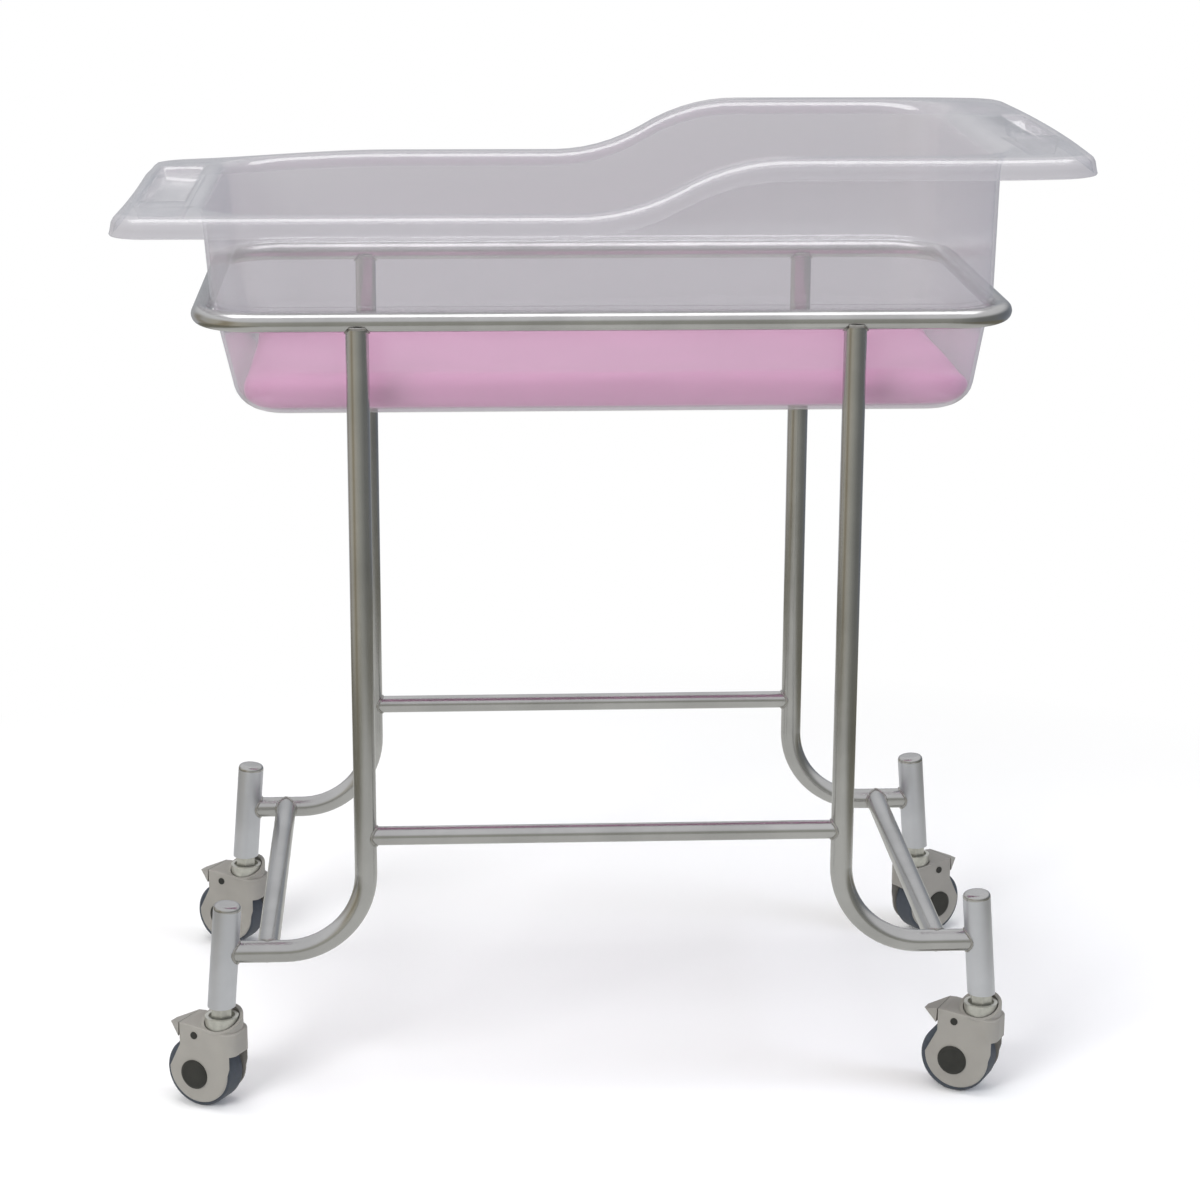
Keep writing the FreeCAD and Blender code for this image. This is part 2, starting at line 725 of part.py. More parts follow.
def cup(name, cup_side):
    """The ring round the stem's collar, cut at a slant: high on one side, at the crown on the other."""
    body = new_body(f"cup_{name}")
    ring = new_sketch(body, "XY_Plane", SEAT)
    add_circle(ring, "0", "0", "dim.cup_size / 2")
    add_circle(ring, "0", "0", "dim.cup_inside / 2")
    add_pad(body, ring, "dim.cup_rise_high")
    above = new_sketch(body, "YZ_Plane")
    low_side, high_side = f"{-cup_side} * dim.cup_size / 2", f"{cup_side} * dim.cup_size / 2"
    low, high = f"{SEAT} + dim.cup_rise_low", f"{SEAT} + dim.cup_rise_high"
    top = f"{high} + dim.cup_size"
    add_polygon(above, [(low_side, low), (high_side, high), (high_side, top), (low_side, top)])
    add_pocket(body, above)
    return body


def cut_outside_profile(body):
    """Trims the blank to the housing's side view: crown, front, and the round lower edge of the cheeks."""
    profile = new_sketch(body, "XZ_Plane")
    cheek_x = "dim.trail - dim.cheek_offset"
    cheek_z = f"{WHEEL_HEIGHT} + dim.cheek_lift"
    front, back = "-dim.housing_front", "dim.cheek_back"
    chain = [
        (back, f"{PIN_HEIGHT} - dim.cheek_notch_drop"),
        (back, f"{SEAT} + dim.crown_rise_back"),
        ("dim.crown_slope_start", f"{SEAT} + dim.crown_rise"),
        (front, SEAT),
        (front, "dim.wheel_size - dim.fairing_drop"),
    ]
    places = [VECTOR(value(x), value(z), 0) for x, z in chain]
    centre, radius = VECTOR(value(cheek_x), value(cheek_z), 0), value("dim.cheek_size / 2")
    profile.addGeometry(Part.ArcOfCircle(Part.Circle(centre, UP, radius), math.pi, 2 * math.pi))
    ends = [centre + VECTOR(radius, 0, 0), *places, centre - VECTOR(radius, 0, 0)]
    for begin, end in zip(ends, ends[1:]):
        profile.addGeometry(Part.LineSegment(begin, end))
    last = len(ends) - 1
    profile.addConstraint(Sketcher.Constraint("Coincident", 0, 2, 1, 1))
    profile.addConstraint(Sketcher.Constraint("Coincident", last, 2, 0, 1))
    profile.addConstraint(Sketcher.Constraint("Horizontal", 0, 3, 0, 1))
    profile.addConstraint(Sketcher.Constraint("Horizontal", 0, 3, 0, 2))
    pin_point(profile, 0, 3, cheek_x, cheek_z)
    bind(profile, Sketcher.Constraint("Radius", 0, radius), "cheek", "dim.cheek_size / 2")
    for line, (x, z) in enumerate(chain, start=1):
        profile.addConstraint(Sketcher.Constraint("Coincident", line, 2, line + 1, 1))
        pin_point(profile, line, 2, x, z)
    far, high = "2 * dim.wheel_size", f"2 * {SEAT}"
    add_polygon(profile, [(f"-({far})", f"-({far})"), (far, f"-({far})"), (far, high), (f"-({far})", high)])
    before = body.Shape.Volume
    trim = body.newObject("PartDesign::Pocket", "trim")
    trim.Profile = profile
    trim.Midplane = True
    trim.setExpression("Length", "2 * dim.housing_width")
    doc.recompute()
    if not body.Shape.Volume < before:
        raise RuntimeError(f"{body.Label}: the profile cuts nothing")


def cut_wheel_space(body):
    """Opens the housing round the wheel, and between the cheeks below the front."""
    round_space = new_sketch(body, "XZ_Plane")
    add_circle(round_space, "dim.trail", WHEEL_HEIGHT, "dim.wheel_size / 2 + dim.wheel_gap")
    add_pocket(body, round_space, CAVITY_WIDTH)
    front_space = new_sketch(body, "XZ_Plane")
    front = "-dim.housing_front - dim.wheel_gap"
    low, high = "-dim.wheel_gap", "dim.wheel_size - dim.fairing_drop - dim.wheel_gap"
    add_polygon(front_space, [(front, low), ("dim.trail", low), ("dim.trail", high), (front, high)])
    add_pocket(body, front_space, CAVITY_WIDTH)


def cut_bores(body):
    """The stem's bore and its two seats, the axle's and the pedal pin's bores, and the pedal's slot."""
    stem_bore = new_sketch(body, "XY_Plane")
    add_circle(stem_bore, "0", "0", "dim.stem_size / 2 + dim.running")
    add_pocket(body, stem_bore)
    flange_seat = new_sketch(body, "XY_Plane", f"({SEAT} - dim.crown_web) / 2")
    add_circle(flange_seat, "0", "0", "dim.flange_size / 2 + dim.seat_gap")
    add_pocket(body, flange_seat, f"{SEAT} - dim.crown_web")
    collar_seat = new_sketch(body, "XY_Plane", f"{SEAT} + dim.cup_size / 2")
    add_circle(collar_seat, "0", "0", "dim.cup_inside / 2")
    add_pocket(body, collar_seat, "dim.cup_size")
    cross_bores = new_sketch(body, "XZ_Plane")
    add_circle(cross_bores, "dim.trail", WHEEL_HEIGHT, "dim.axle_size / 2")
    add_circle(cross_bores, "dim.pedal_pin_back", PIN_HEIGHT, "dim.pedal_pin / 2")
    add_pocket(body, cross_bores)
    slot = new_sketch(body, "XZ_Plane")
    start, end = "dim.pedal_pin_back - dim.pedal_slot_depth", "dim.pedal_reach"
    low, high = WHEEL_HEIGHT, f"{PIN_HEIGHT} + dim.pedal_slot_rise"
    add_polygon(slot, [(start, low), (end, low), (end, high), (start, high)])
    add_pocket(body, slot, "dim.lever_width + 2 * dim.pedal_gap")


def brake_pedal(name, end, side, angle):
    """The pedal: a lever on the pin, its flat underside the brake shoe, and a tapered beak for the toe."""
    body = new_body(f"brake_pedal_{name}")
    pin_x, pin_z = "dim.pedal_pin_back", PIN_HEIGHT
    lever = new_sketch(body, "XZ_Plane")
    front, back = f"{pin_x} - dim.lever_front", f"{pin_x} + dim.lever_end"
    low, high = f"{pin_z} - dim.lever_bottom", f"{pin_z} + dim.lever_top"
    add_polygon(lever, [(front, low), (back, low), (back, high), (front, high)])
    add_pad(body, lever, "dim.lever_width", both_ways=True)
    beak = new_sketch(body, "XZ_Plane")
    root = "dim.cheek_back + dim.pedal_gap"
    add_polygon(beak, [
        (root, f"{SEAT} + dim.crown_rise_back"),
        (f"{root} + dim.beak_lean", f"{pin_z} - dim.beak_drop"),
        ("dim.pedal_reach", f"{pin_z} + dim.pedal_tip_rise"),
    ])
    add_pad(body, beak, "dim.pedal_width", both_ways=True)
    for face in (1, -1):
        corner = new_sketch(body, "XY_Plane")
        tip_side, far_side = f"{face} * dim.pedal_tip_width / 2", f"{face} * dim.pedal_width"
        add_polygon(corner, [
            (root, f"{face} * dim.pedal_width / 2"),
            ("dim.pedal_reach", tip_side),
            ("dim.pedal_reach", far_side),
            (root, far_side),
        ])
        add_pocket(body, corner)
    bore = new_sketch(body, "XZ_Plane")
    add_circle(bore, pin_x, pin_z, "dim.pedal_pin / 2 + dim.running")
    add_pocket(body, bore)
    return keep(at_caster(body, end, side, angle))


def pedal_pin(name, end, side, angle):
    """The pin that the pedal turns on, with a flat head outside each cheek."""
    body = new_body(f"pedal_pin_{name}")
    shank = new_sketch(body, "XZ_Plane")
    add_circle(shank, "dim.pedal_pin_back", PIN_HEIGHT, "dim.pedal_pin / 2")
    add_pad(body, shank, "dim.housing_width", both_ways=True)
    for face in (1, -1):
        head = new_sketch(body, "XZ_Plane", f"{face} * dim.housing_width / 2")
        add_circle(head, "dim.pedal_pin_back", PIN_HEIGHT, "dim.pedal_pin_head / 2")
        add_pad(body, head, "dim.pedal_pin_head_depth", backwards=face < 0)
    return keep(at_caster(body, end, side, angle))


# ---------------------------------------------------------------- tub and mattress

SHOULDER = f"({RING_Z} + dim.ring_tube / 2 + dim.seat_gap)"
ABOVE_RIM = "(dim.rim_height_head + dim.rim_skirt)"
TUB_BOTTOM = "(dim.rim_height_head - dim.tub_depth)"
RIM_HEIGHT_FOOT = "(dim.rim_height_head - dim.rim_step)"

# The basin's levels from the ring up and down. Each has its foot end, head end, width and corner radius.
NECK_X = f"({RING_X} - dim.ring_tube / 2 - dim.neck_gap)"
NECK_WIDTH = f"(2 * {RING_Y} - dim.ring_tube - 2 * dim.neck_gap)"
NECK = (NECK_X, NECK_X, NECK_WIDTH, "dim.neck_corner")
BOTTOM = (
    f"({NECK_X} - dim.taper_foot)",
    f"({NECK_X} - dim.taper_head)",
    f"({NECK_WIDTH} - 2 * dim.taper_sides)",
    "dim.basin_bottom_corner",
)
SHOULDER_X = f"({RING_X} - dim.shoulder_inset_ends)"
SHOULDER_WIDTH = f"(2 * {RING_Y} + 2 * dim.shoulder_outset_sides)"
SHOULDER_OUTLINE = (SHOULDER_X, SHOULDER_X, SHOULDER_WIDTH, "dim.shoulder_corner")
TOP = (
    f"({SHOULDER_X} + dim.draft_foot)",
    f"({SHOULDER_X} + dim.draft_head)",
    f"({SHOULDER_WIDTH} + 2 * dim.draft_sides)",
    "dim.basin_top_corner",
)


def basin(label, inset):
    """The tub's hollow as a solid: below the ring, and wider above it. The inset is its wall, or 0."""
    body = new_body(label)
    stages = ((BOTTOM, NECK), (SHOULDER_OUTLINE, TOP))
    heights = (f"{TUB_BOTTOM} + {inset}", f"{SHOULDER} + {inset}", ABOVE_RIM)
    for step, (lower, upper) in enumerate(stages):
        sections = []
        for outline, height in zip((lower, upper), heights[step:step + 2]):
            foot, head, width, corner = outline
            section = new_sketch(body, "XY_Plane", height)
            size = f"{width} - 2 * {inset}"
            add_rounded_box(section, f"-({foot} - {inset})", f"{head} - {inset}", size, f"{corner} - {inset}")
            sections.append(section)
        add_loft(body, sections)
    floor_height = value(heights[0])
    floor_edges = edges_where(body.Shape, lambda e: e.BoundBox.ZMax < floor_height + CLOSE)
    add_fillet(body, floor_edges, f"dim.basin_round - {inset}")
    return body


def rim_blank(label, inset):
    """The rim's plan outline, wider at the head end, as a tall block. The inset is the skirt's wall, or 0."""
    body = new_body(label)
    sketch = new_sketch(body, "XY_Plane", SHOULDER)
    foot, head = f"-(dim.rim_length / 2 - {inset})", f"dim.rim_length / 2 - {inset}"
    wide = f"(dim.rim_width_head / 2 - {inset})"
    narrow = f"({wide} - dim.rim_flare)"
    first, last = "dim.curve_start", "dim.curve_start + dim.curve_length"
    right = [(foot, f"-{narrow}"), (first, f"-{narrow}"), (last, f"-{wide}"), (head, f"-{wide}")]
    left = [(head, wide), (last, wide), (first, narrow), (foot, narrow)]
    add_polygon(sketch, right + left)
    add_pad(body, sketch, f"{ABOVE_RIM} - ({SHOULDER})")
    ends = value(foot), value(head)
    corners = edges_where(
        body.Shape,
        lambda e: e.BoundBox.ZLength > 1 and min(abs(e.BoundBox.XMin - x) for x in ends) < CLOSE,
    )
    add_fillet(body, corners, f"dim.rim_corner - {inset}")
    return body


def add_rim_curve(sketch, drop):
    """The rim's side view: low at the foot, an S of two equal arcs, high at the head. Returns its ends."""
    foot_z, head_z = f"{RIM_HEIGHT_FOOT} - {drop}", f"dim.rim_height_head - {drop}"
    start, run = value("dim.curve_start"), value("dim.curve_length")
    low, high = value(foot_z), value(head_z)
    rise = high - low
    radius = (run * run + rise * rise) / (4 * rise)
    lean = math.asin(run / 2 / radius)
    reach = value("dim.rim_length")
    first = sketch.GeometryCount
    sketch.addGeometry(Part.LineSegment(VECTOR(-reach, low, 0), VECTOR(start, low, 0)))
    lower = Part.Circle(VECTOR(start, low + radius, 0), UP, radius)
    sketch.addGeometry(Part.ArcOfCircle(lower, 1.5 * math.pi, 1.5 * math.pi + lean))
    upper = Part.Circle(VECTOR(start + run, high - radius, 0), UP, radius)
    sketch.addGeometry(Part.ArcOfCircle(upper, 0.5 * math.pi, 0.5 * math.pi + lean))
    sketch.addGeometry(Part.LineSegment(VECTOR(start + run, high, 0), VECTOR(reach, high, 0)))
    sketch.addConstraint(Sketcher.Constraint("Tangent", first, 2, first + 1, 1))
    sketch.addConstraint(Sketcher.Constraint("Tangent", first + 1, 2, first + 2, 2))
    sketch.addConstraint(Sketcher.Constraint("Tangent", first + 2, 1, first + 3, 1))
    sketch.addConstraint(Sketcher.Constraint("Equal", first + 1, first + 2))
    sketch.addConstraint(Sketcher.Constraint("Horizontal", first))
    sketch.addConstraint(Sketcher.Constraint("Horizontal", first + 3))
    pin_point(sketch, first, 2, "dim.curve_start", foot_z)
    pin_point(sketch, first + 3, 1, "dim.curve_start + dim.curve_length", head_z)
    for line, end, side in ((first, 1, "-"), (first + 3, 2, "")):
        far = f"{side}dim.rim_length"
        bind(sketch, Sketcher.Constraint("DistanceX", -1, 1, line, end, value(far)), f"far{line}", far)
    return (first, 1), (first + 3, 2)


def join_ends(sketch, first, second):
    """A straight line between two open ends of the sketch."""
    line = sketch.addGeometry(Part.LineSegment(sketch.getPoint(*first), sketch.getPoint(*second)))
    sketch.addConstraint(Sketcher.Constraint("Coincident", line, 1, *first))
    sketch.addConstraint(Sketcher.Constraint("Coincident", line, 2, *second))


def rim_band(label, top_drop, bottom_drop):
    """Everything between the rim's curve lowered by two amounts, right across the tub."""
    body = new_body(label)
    sketch = new_sketch(body, "XZ_Plane")
    top_left, top_right = add_rim_curve(sketch, top_drop)
    low_left, low_right = add_rim_curve(sketch, bottom_drop)
    join_ends(sketch, top_left, low_left)
    join_ends(sketch, top_right, low_right)
    add_pad(body, sketch, "2 * dim.rim_width_head", both_ways=True)
    return body


def below_rim(label):
    """Everything under the rim's curve, down past the tub's bottom."""
    body = new_body(label)
    sketch = new_sketch(body, "XZ_Plane")
    left, right = add_rim_curve(sketch, "0")
    floor = f"{TUB_BOTTOM} - dim.basin_round"
    low_left = sketch.addGeometry(
        Part.LineSegment(VECTOR(value("-dim.rim_length"), value(floor), 0), sketch.getPoint(*left))
    )
    pin_point(sketch, low_left, 1, "-dim.rim_length", floor)
    sketch.addConstraint(Sketcher.Constraint("Coincident", low_left, 2, *left))
    low_right = sketch.addGeometry(
        Part.LineSegment(VECTOR(value("dim.rim_length"), value(floor), 0), sketch.getPoint(*right))
    )
    pin_point(sketch, low_right, 1, "dim.rim_length", floor)
    sketch.addConstraint(Sketcher.Constraint("Coincident", low_right, 2, *right))
    join_ends(sketch, (low_left, 1), (low_right, 1))
    add_pad(body, sketch, "2 * dim.rim_width_head", both_ways=True)
    return body


def recess(name, end, shelf, outset):
    """The hollow of the tray or the slot in one end's shelf as a solid. The outset is its wall, or 0."""
    body = new_body(f"{name}_{'hollow' if outset == '0' else 'outside'}")
    heights = f"{shelf} - dim.{name}_depth - {outset}", f"{shelf} - {outset} / 2"
    basin_end = TOP[1] if end > 0 else TOP[0]
    sections = []
    for height, slope in zip(heights, (f"dim.{name}_slope", "0")):
        section = new_sketch(body, "XY_Plane", height)
        near = f"({basin_end} + dim.{name}_basin_gap - {outset} + {slope})"
        far = f"(dim.rim_length / 2 - dim.{name}_rim_gap + {outset} - {slope})"
        low, high = (near, far) if end > 0 else (f"-{far}", f"-{near}")
        width = f"dim.{name}_width + 2 * {outset} - 2 * {slope}"
        add_rounded_box(section, low, high, width, f"dim.{name}_corner + {outset}")
        sections.append(section)
    add_loft(body, sections)
    return body


def tub():
    """The clear tub: basin, flange with a turned-down skirt, and the recesses of its two end shelves."""
    wall = "dim.tub_wall"
    rim = boolean(
        "Part::Common", "rim", rim_blank("rim_outline", "0"), rim_band("rim_depth", "0", "dim.rim_skirt")
    )
    under = boolean(
        "Part::Common",
        "rim_hollow",
        rim_blank("rim_inside", wall),
        rim_band("rim_underside", wall, "2 * dim.rim_skirt"),
    )
    flange = boolean("Part::Cut", "flange", rim, under)
    outside = boolean("Part::Common", "basin_outside", basin("basin_outer", "0"), below_rim("under_rim"))
    shelves = (("tray", -1, RIM_HEIGHT_FOOT), ("slot", 1, "dim.rim_height_head"))
    outsides = [recess(*shelf, wall) for shelf in shelves]
    solid = boolean("Part::MultiFuse", "tub_solid", flange, outside, *outsides)
    insides = [recess(*shelf, "0") for shelf in shelves]
    hollows = boolean("Part::MultiFuse", "tub_hollows", basin("basin_inner", wall), *insides)
    return keep(boolean("Part::Cut", "tub", solid, hollows))


def mattress():
    """The pad on the tub's floor."""
    body = new_body("mattress")
    bottom = f"{TUB_BOTTOM} + dim.tub_wall + dim.seat_gap"
    sketch = new_sketch(body, "XY_Plane", bottom)
    foot, head, width, _ = BOTTOM
    low = f"-({foot} - dim.tub_wall - dim.mattress_end_gap)"
    high = f"{head} - dim.tub_wall - dim.mattress_end_gap"
    width = f"{width} - 2 * dim.tub_wall - 2 * dim.mattress_side_gap"
    add_rounded_box(sketch, low, high, width, "dim.mattress_corner")
    add_pad(body, sketch, "dim.mattress_depth")
    base, top = value(bottom), value(f"{bottom} + dim.mattress_depth")
    rims = edges_where(
        body.Shape,
        lambda e: e.BoundBox.ZLength < CLOSE and min(abs(e.BoundBox.ZMin - z) for z in (base, top)) < CLOSE,
    )
    add_fillet(body, rims, "dim.mattress_round")
    return keep(body)


# ---------------------------------------------------------------- the whole bassinet

support_ring()
for corner, end, side, angle, cup_side in CORNERS:
    leg(corner, end, side)
    caster_post(corner, end, side)
for side_name, side in (("right", -1), ("left", 1)):
    stretcher(side_name, side)
for end_name, end in (("foot", -1), ("head", 1)):
    cross_bar(end_name, end)
group("post_caps", [post_cap(*corner[:3]) for corner in CORNERS])
group("post_inserts", [post_insert(*corner[:3]) for corner in CORNERS])
group("caster_stems", [stem(*corner[:3]) for corner in CORNERS])
group("stem_collars", [stem_collar(*corner[:3]) for corner in CORNERS])
group("stem_nuts", [stem_nut(*corner[:4]) for corner in CORNERS])
for corner in CORNERS:
    housing(*corner)
    axle(*corner[:4])
    hub_caps(*corner[:4])
    pedal_pin(*corner[:4])
    brake_pedal(*corner[:4])
    wheel_hub(*corner[:4])
    wheel_tread(*corner[:4])
tub()
mattress()

doc.recompute()
for feature in doc.Objects:
    if "Invalid" in feature.State or "Error" in feature.State:
        raise RuntimeError(f"{feature.Label} has state {feature.State}")
os.makedirs("parts", exist_ok=True)
for node in nodes:
    if node.Shape.isNull() or not node.Shape.isValid():
        raise RuntimeError(f"{node.Label} has no valid shape")
    node.Shape.exportStep(f"parts/{node.Label}.step")
    print(f"{node.Label}: {len(node.Shape.Solids)} solids, {node.Shape.Volume / 1000:.1f} cm3")
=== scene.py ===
"""Looks of the hospital bassinet: clear tub, mattress, weld beads, materials, floor, light and camera.

Metres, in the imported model's frame: +X points to the head end, +Y to the left side, +Z up.
"""

import json
import math

import bmesh
import bpy
from mathutils import Matrix, Vector, noise


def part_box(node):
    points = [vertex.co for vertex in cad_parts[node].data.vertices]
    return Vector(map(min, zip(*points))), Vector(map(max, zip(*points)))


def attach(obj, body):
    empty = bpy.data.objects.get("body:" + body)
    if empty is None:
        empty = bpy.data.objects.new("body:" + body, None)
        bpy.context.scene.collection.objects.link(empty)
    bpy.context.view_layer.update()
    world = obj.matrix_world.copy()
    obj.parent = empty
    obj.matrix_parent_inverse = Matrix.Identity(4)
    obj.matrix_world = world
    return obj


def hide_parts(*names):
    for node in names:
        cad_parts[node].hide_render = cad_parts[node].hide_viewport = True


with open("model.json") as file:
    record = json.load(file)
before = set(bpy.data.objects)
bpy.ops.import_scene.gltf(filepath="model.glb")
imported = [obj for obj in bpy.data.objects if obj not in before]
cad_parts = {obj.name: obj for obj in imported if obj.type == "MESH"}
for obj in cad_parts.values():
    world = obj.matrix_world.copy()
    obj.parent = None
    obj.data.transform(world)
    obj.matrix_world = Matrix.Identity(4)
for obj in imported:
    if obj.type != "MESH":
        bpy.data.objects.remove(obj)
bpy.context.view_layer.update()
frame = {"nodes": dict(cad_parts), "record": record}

MM = 0.001


# ---------------------------------------------------------------- materials


def new_material(name):
    """A node material and its Principled shader."""
    material = bpy.data.materials.new(name)
    material.use_nodes = True
    return material, material.node_tree.nodes["Principled BSDF"]


def add(material, kind, **inputs):
    """A new node with the given input values. Names use _ for a space."""
    node = material.node_tree.nodes.new(kind)
    for name, value in inputs.items():
        node.inputs[name.replace("_", " ")].default_value = value
    return node


def link(material, source, target):
    material.node_tree.links.new(source, target)


def object_noise(material, scale, detail=4.0, stretch=(1.0, 1.0, 1.0)):
    """Noise in object coordinates, with features about 1 / scale metres across."""
    coordinates = material.node_tree.nodes.new("ShaderNodeTexCoord")
    mapping = add(material, "ShaderNodeMapping", Scale=stretch)
    pattern = add(material, "ShaderNodeTexNoise", Scale=scale, Detail=detail)
    link(material, coordinates.outputs["Object"], mapping.inputs["Vector"])
    link(material, mapping.outputs["Vector"], pattern.inputs["Vector"])
    return pattern.outputs["Fac"]


def ramp(material, source, stops):
    """A colour ramp over a 0 to 1 source. Each stop is a place and a colour."""
    node = material.node_tree.nodes.new("ShaderNodeValToRGB")
    elements = node.color_ramp.elements
    while len(elements) < len(stops):
        elements.new(0.5)
    for element, (place, colour) in zip(elements, stops):
        element.position = place
        element.color = (*colour, 1.0)
    link(material, source, node.inputs["Fac"])
    return node.outputs["Color"]


def spread(material, source, low, high):
    """Maps a 0 to 1 source to the range from low to high."""
    node = add(material, "ShaderNodeMapRange", To_Min=low, To_Max=high)
    link(material, source, node.inputs["Value"])
    return node.outputs["Result"]


def either(owner, outputs):
    """One where any of the outputs is one."""
    total = outputs[0]
    for output in outputs[1:]:
        total = maths(owner, "MAXIMUM", total, output)
    return total


def mix_shaders(owner, share, first, second):
    """The first shader where the share is 0 and the second where it is 1."""
    mix = add(owner, "ShaderNodeMixShader")
    link(owner, share, mix.inputs["Fac"])
    link(owner, first, mix.inputs[1])
    link(owner, second, mix.inputs[2])
    return mix.outputs["Shader"]


def from_range(owner, source, low, high):
    """Maps the range from low to high to 0 to 1."""
    node = add(owner, "ShaderNodeMapRange", From_Min=low, From_Max=high)
    link(owner, source, node.inputs["Value"])
    return node.outputs["Result"]


def maths(owner, operation, first, second):
    """One Math node: the second input is a plain number or another node's output."""
    node = add(owner, "ShaderNodeMath")
    node.operation = operation
    link(owner, first, node.inputs[0])
    if isinstance(second, float):
        node.inputs[1].default_value = second
    else:
        link(owner, second, node.inputs[1])
    return node.outputs["Value"]


def vector_maths(owner, operation, first, second=None):
    """One Vector Math node: the second input, if any, is a plain triple or another node's output."""
    node = add(owner, "ShaderNodeVectorMath")
    node.operation = operation
    link(owner, first, node.inputs[0])
    if isinstance(second, tuple):
        node.inputs[1].default_value = second
    elif second:
        link(owner, second, node.inputs[1])
    return node.outputs["Value" if operation == "LENGTH" else "Vector"]


def bump(material, shader, height, strength, distance):
    node = add(material, "ShaderNodeBump", Strength=strength, Distance=distance)
    link(material, height, node.inputs["Height"])
    link(material, node.outputs["Normal"], shader.inputs["Normal"])


def scaled(colour, factor):
    return tuple(channel * factor for channel in colour)


def mottled(name, colour, contrast, patch, roughness, metallic=0.0, grain=None):
    """A material whose colour and gloss vary in soft patches, with an optional fine grain (size, depth)."""
    material, shader = new_material(name)
    patches = object_noise(material, 1.0 / patch)
    low, high = scaled(colour, 1.0 - contrast), scaled(colour, 1.0 + contrast)
    link(material, ramp(material, patches, [(0.3, low), (0.7, high)]), shader.inputs["Base Color"])
    rough = spread(material, patches, roughness * 0.85, roughness * 1.15)
    link(material, rough, shader.inputs["Roughness"])
    shader.inputs["Metallic"].default_value = metallic
    if grain:
        size, depth = grain
        bump(material, shader, object_noise(material, 1.0 / size, 2.0), 1.0, depth)
    return material


STEEL_COLOUR = (0.56, 0.56, 0.55)
POST_COLOUR = (0.74, 0.755, 0.80)
ZINC_COLOUR = (0.60, 0.60, 0.55)
HOUSING_COLOUR = (0.272, 0.260, 0.236)
BLACK_COLOUR = (0.017, 0.017, 0.014)
TREAD_COLOUR = (0.046, 0.055, 0.070)
CORE_COLOUR = (0.15, 0.15, 0.155)
WELD_COLOUR = (0.46, 0.45, 0.43)

STEEL_PATCHES, STREAKS = 18.0, 900.0
STREAK_STRETCH = (1.0, 1.0, 0.12)
STREAK_STRENGTH, STREAK_DEPTH = 0.25, 0.03 * MM


def steel_material(name, colour, smoothest, roughest):
    """Satin stainless tube: faint streaks and cloudy patches in its gloss."""
    material, shader = new_material(name)
    shader.inputs["Metallic"].default_value = 1.0
    patches = object_noise(material, STEEL_PATCHES, 5.0)
    dark, light = scaled(colour, 0.92), scaled(colour, 1.06)
    link(material, ramp(material, patches, [(0.35, dark), (0.65, light)]), shader.inputs["Base Color"])
    streaks = object_noise(material, STREAKS, 3.0, STREAK_STRETCH)
    link(material, spread(material, streaks, smoothest, roughest), shader.inputs["Roughness"])
    bump(material, shader, streaks, STREAK_STRENGTH, STREAK_DEPTH)
    return material


CLEAR_TINT = (0.93, 0.926, 0.934)
CLEAR_BODY = (0.80, 0.795, 0.815)
CLEAR_HAZE = 0.075
CLEAR_EDGE = 0.12
CLEAR_ROUGHNESS, CLEAR_BODY_ROUGHNESS = 0.2, 0.6
RIPPLE_SCALE, RIPPLE_STRENGTH, RIPPLE_HEIGHT = 28.0, 0.35, 0.0006
GLOSS_STRAIGHT, GLOSS_EDGE, GLOSS_INSIDE = 0.055, 0.8, 0.3


def clear_material():
    """Clear moulded plastic: a faint grey tint and haze, denser seen edge-on, and gloss."""
    material, shader = new_material("clear_plastic")
    shader.inputs["Base Color"].default_value = (*CLEAR_BODY, 1.0)
    shader.inputs["Specular IOR Level"].default_value = 0.0
    shader.inputs["Roughness"].default_value = CLEAR_BODY_ROUGHNESS
    through = add(material, "ShaderNodeBsdfTransparent", Color=(*CLEAR_TINT, 1.0))
    facing = add(material, "ShaderNodeLayerWeight", Blend=0.5).outputs["Facing"]
    haze = spread(material, facing, CLEAR_HAZE, CLEAR_EDGE)
    body = mix_shaders(material, haze, through.outputs["BSDF"], shader.outputs["BSDF"])
    gloss = add(material, "ShaderNodeBsdfGlossy", Color=(1.0, 1.0, 1.0, 1.0))
    ripples = object_noise(material, RIPPLE_SCALE, 3.0)
    rough = spread(material, ripples, CLEAR_ROUGHNESS * 0.7, CLEAR_ROUGHNESS * 1.3)
    link(material, rough, gloss.inputs["Roughness"])
    bump(material, gloss, ripples, RIPPLE_STRENGTH, RIPPLE_HEIGHT)
    steep = maths(material, "POWER", facing, 5.0)
    backfacing = add(material, "ShaderNodeNewGeometry").outputs["Backfacing"]
    inside = spread(material, backfacing, 1.0, GLOSS_INSIDE)
    share = maths(material, "MULTIPLY", spread(material, steep, GLOSS_STRAIGHT, GLOSS_EDGE), inside)
    surface = mix_shaders(material, share, body, gloss.outputs["BSDF"])
    link(material, surface, material.node_tree.nodes["Material Output"].inputs["Surface"])
    return material


COVER_COLOUR = (0.568, 0.242, 0.424)
COVER_PATCHES, COVER_CONTRAST = 14.0, 0.04
KNIT_SCALE, KNIT_STRENGTH, KNIT_DEPTH = 420.0, 0.5, 0.12 * MM


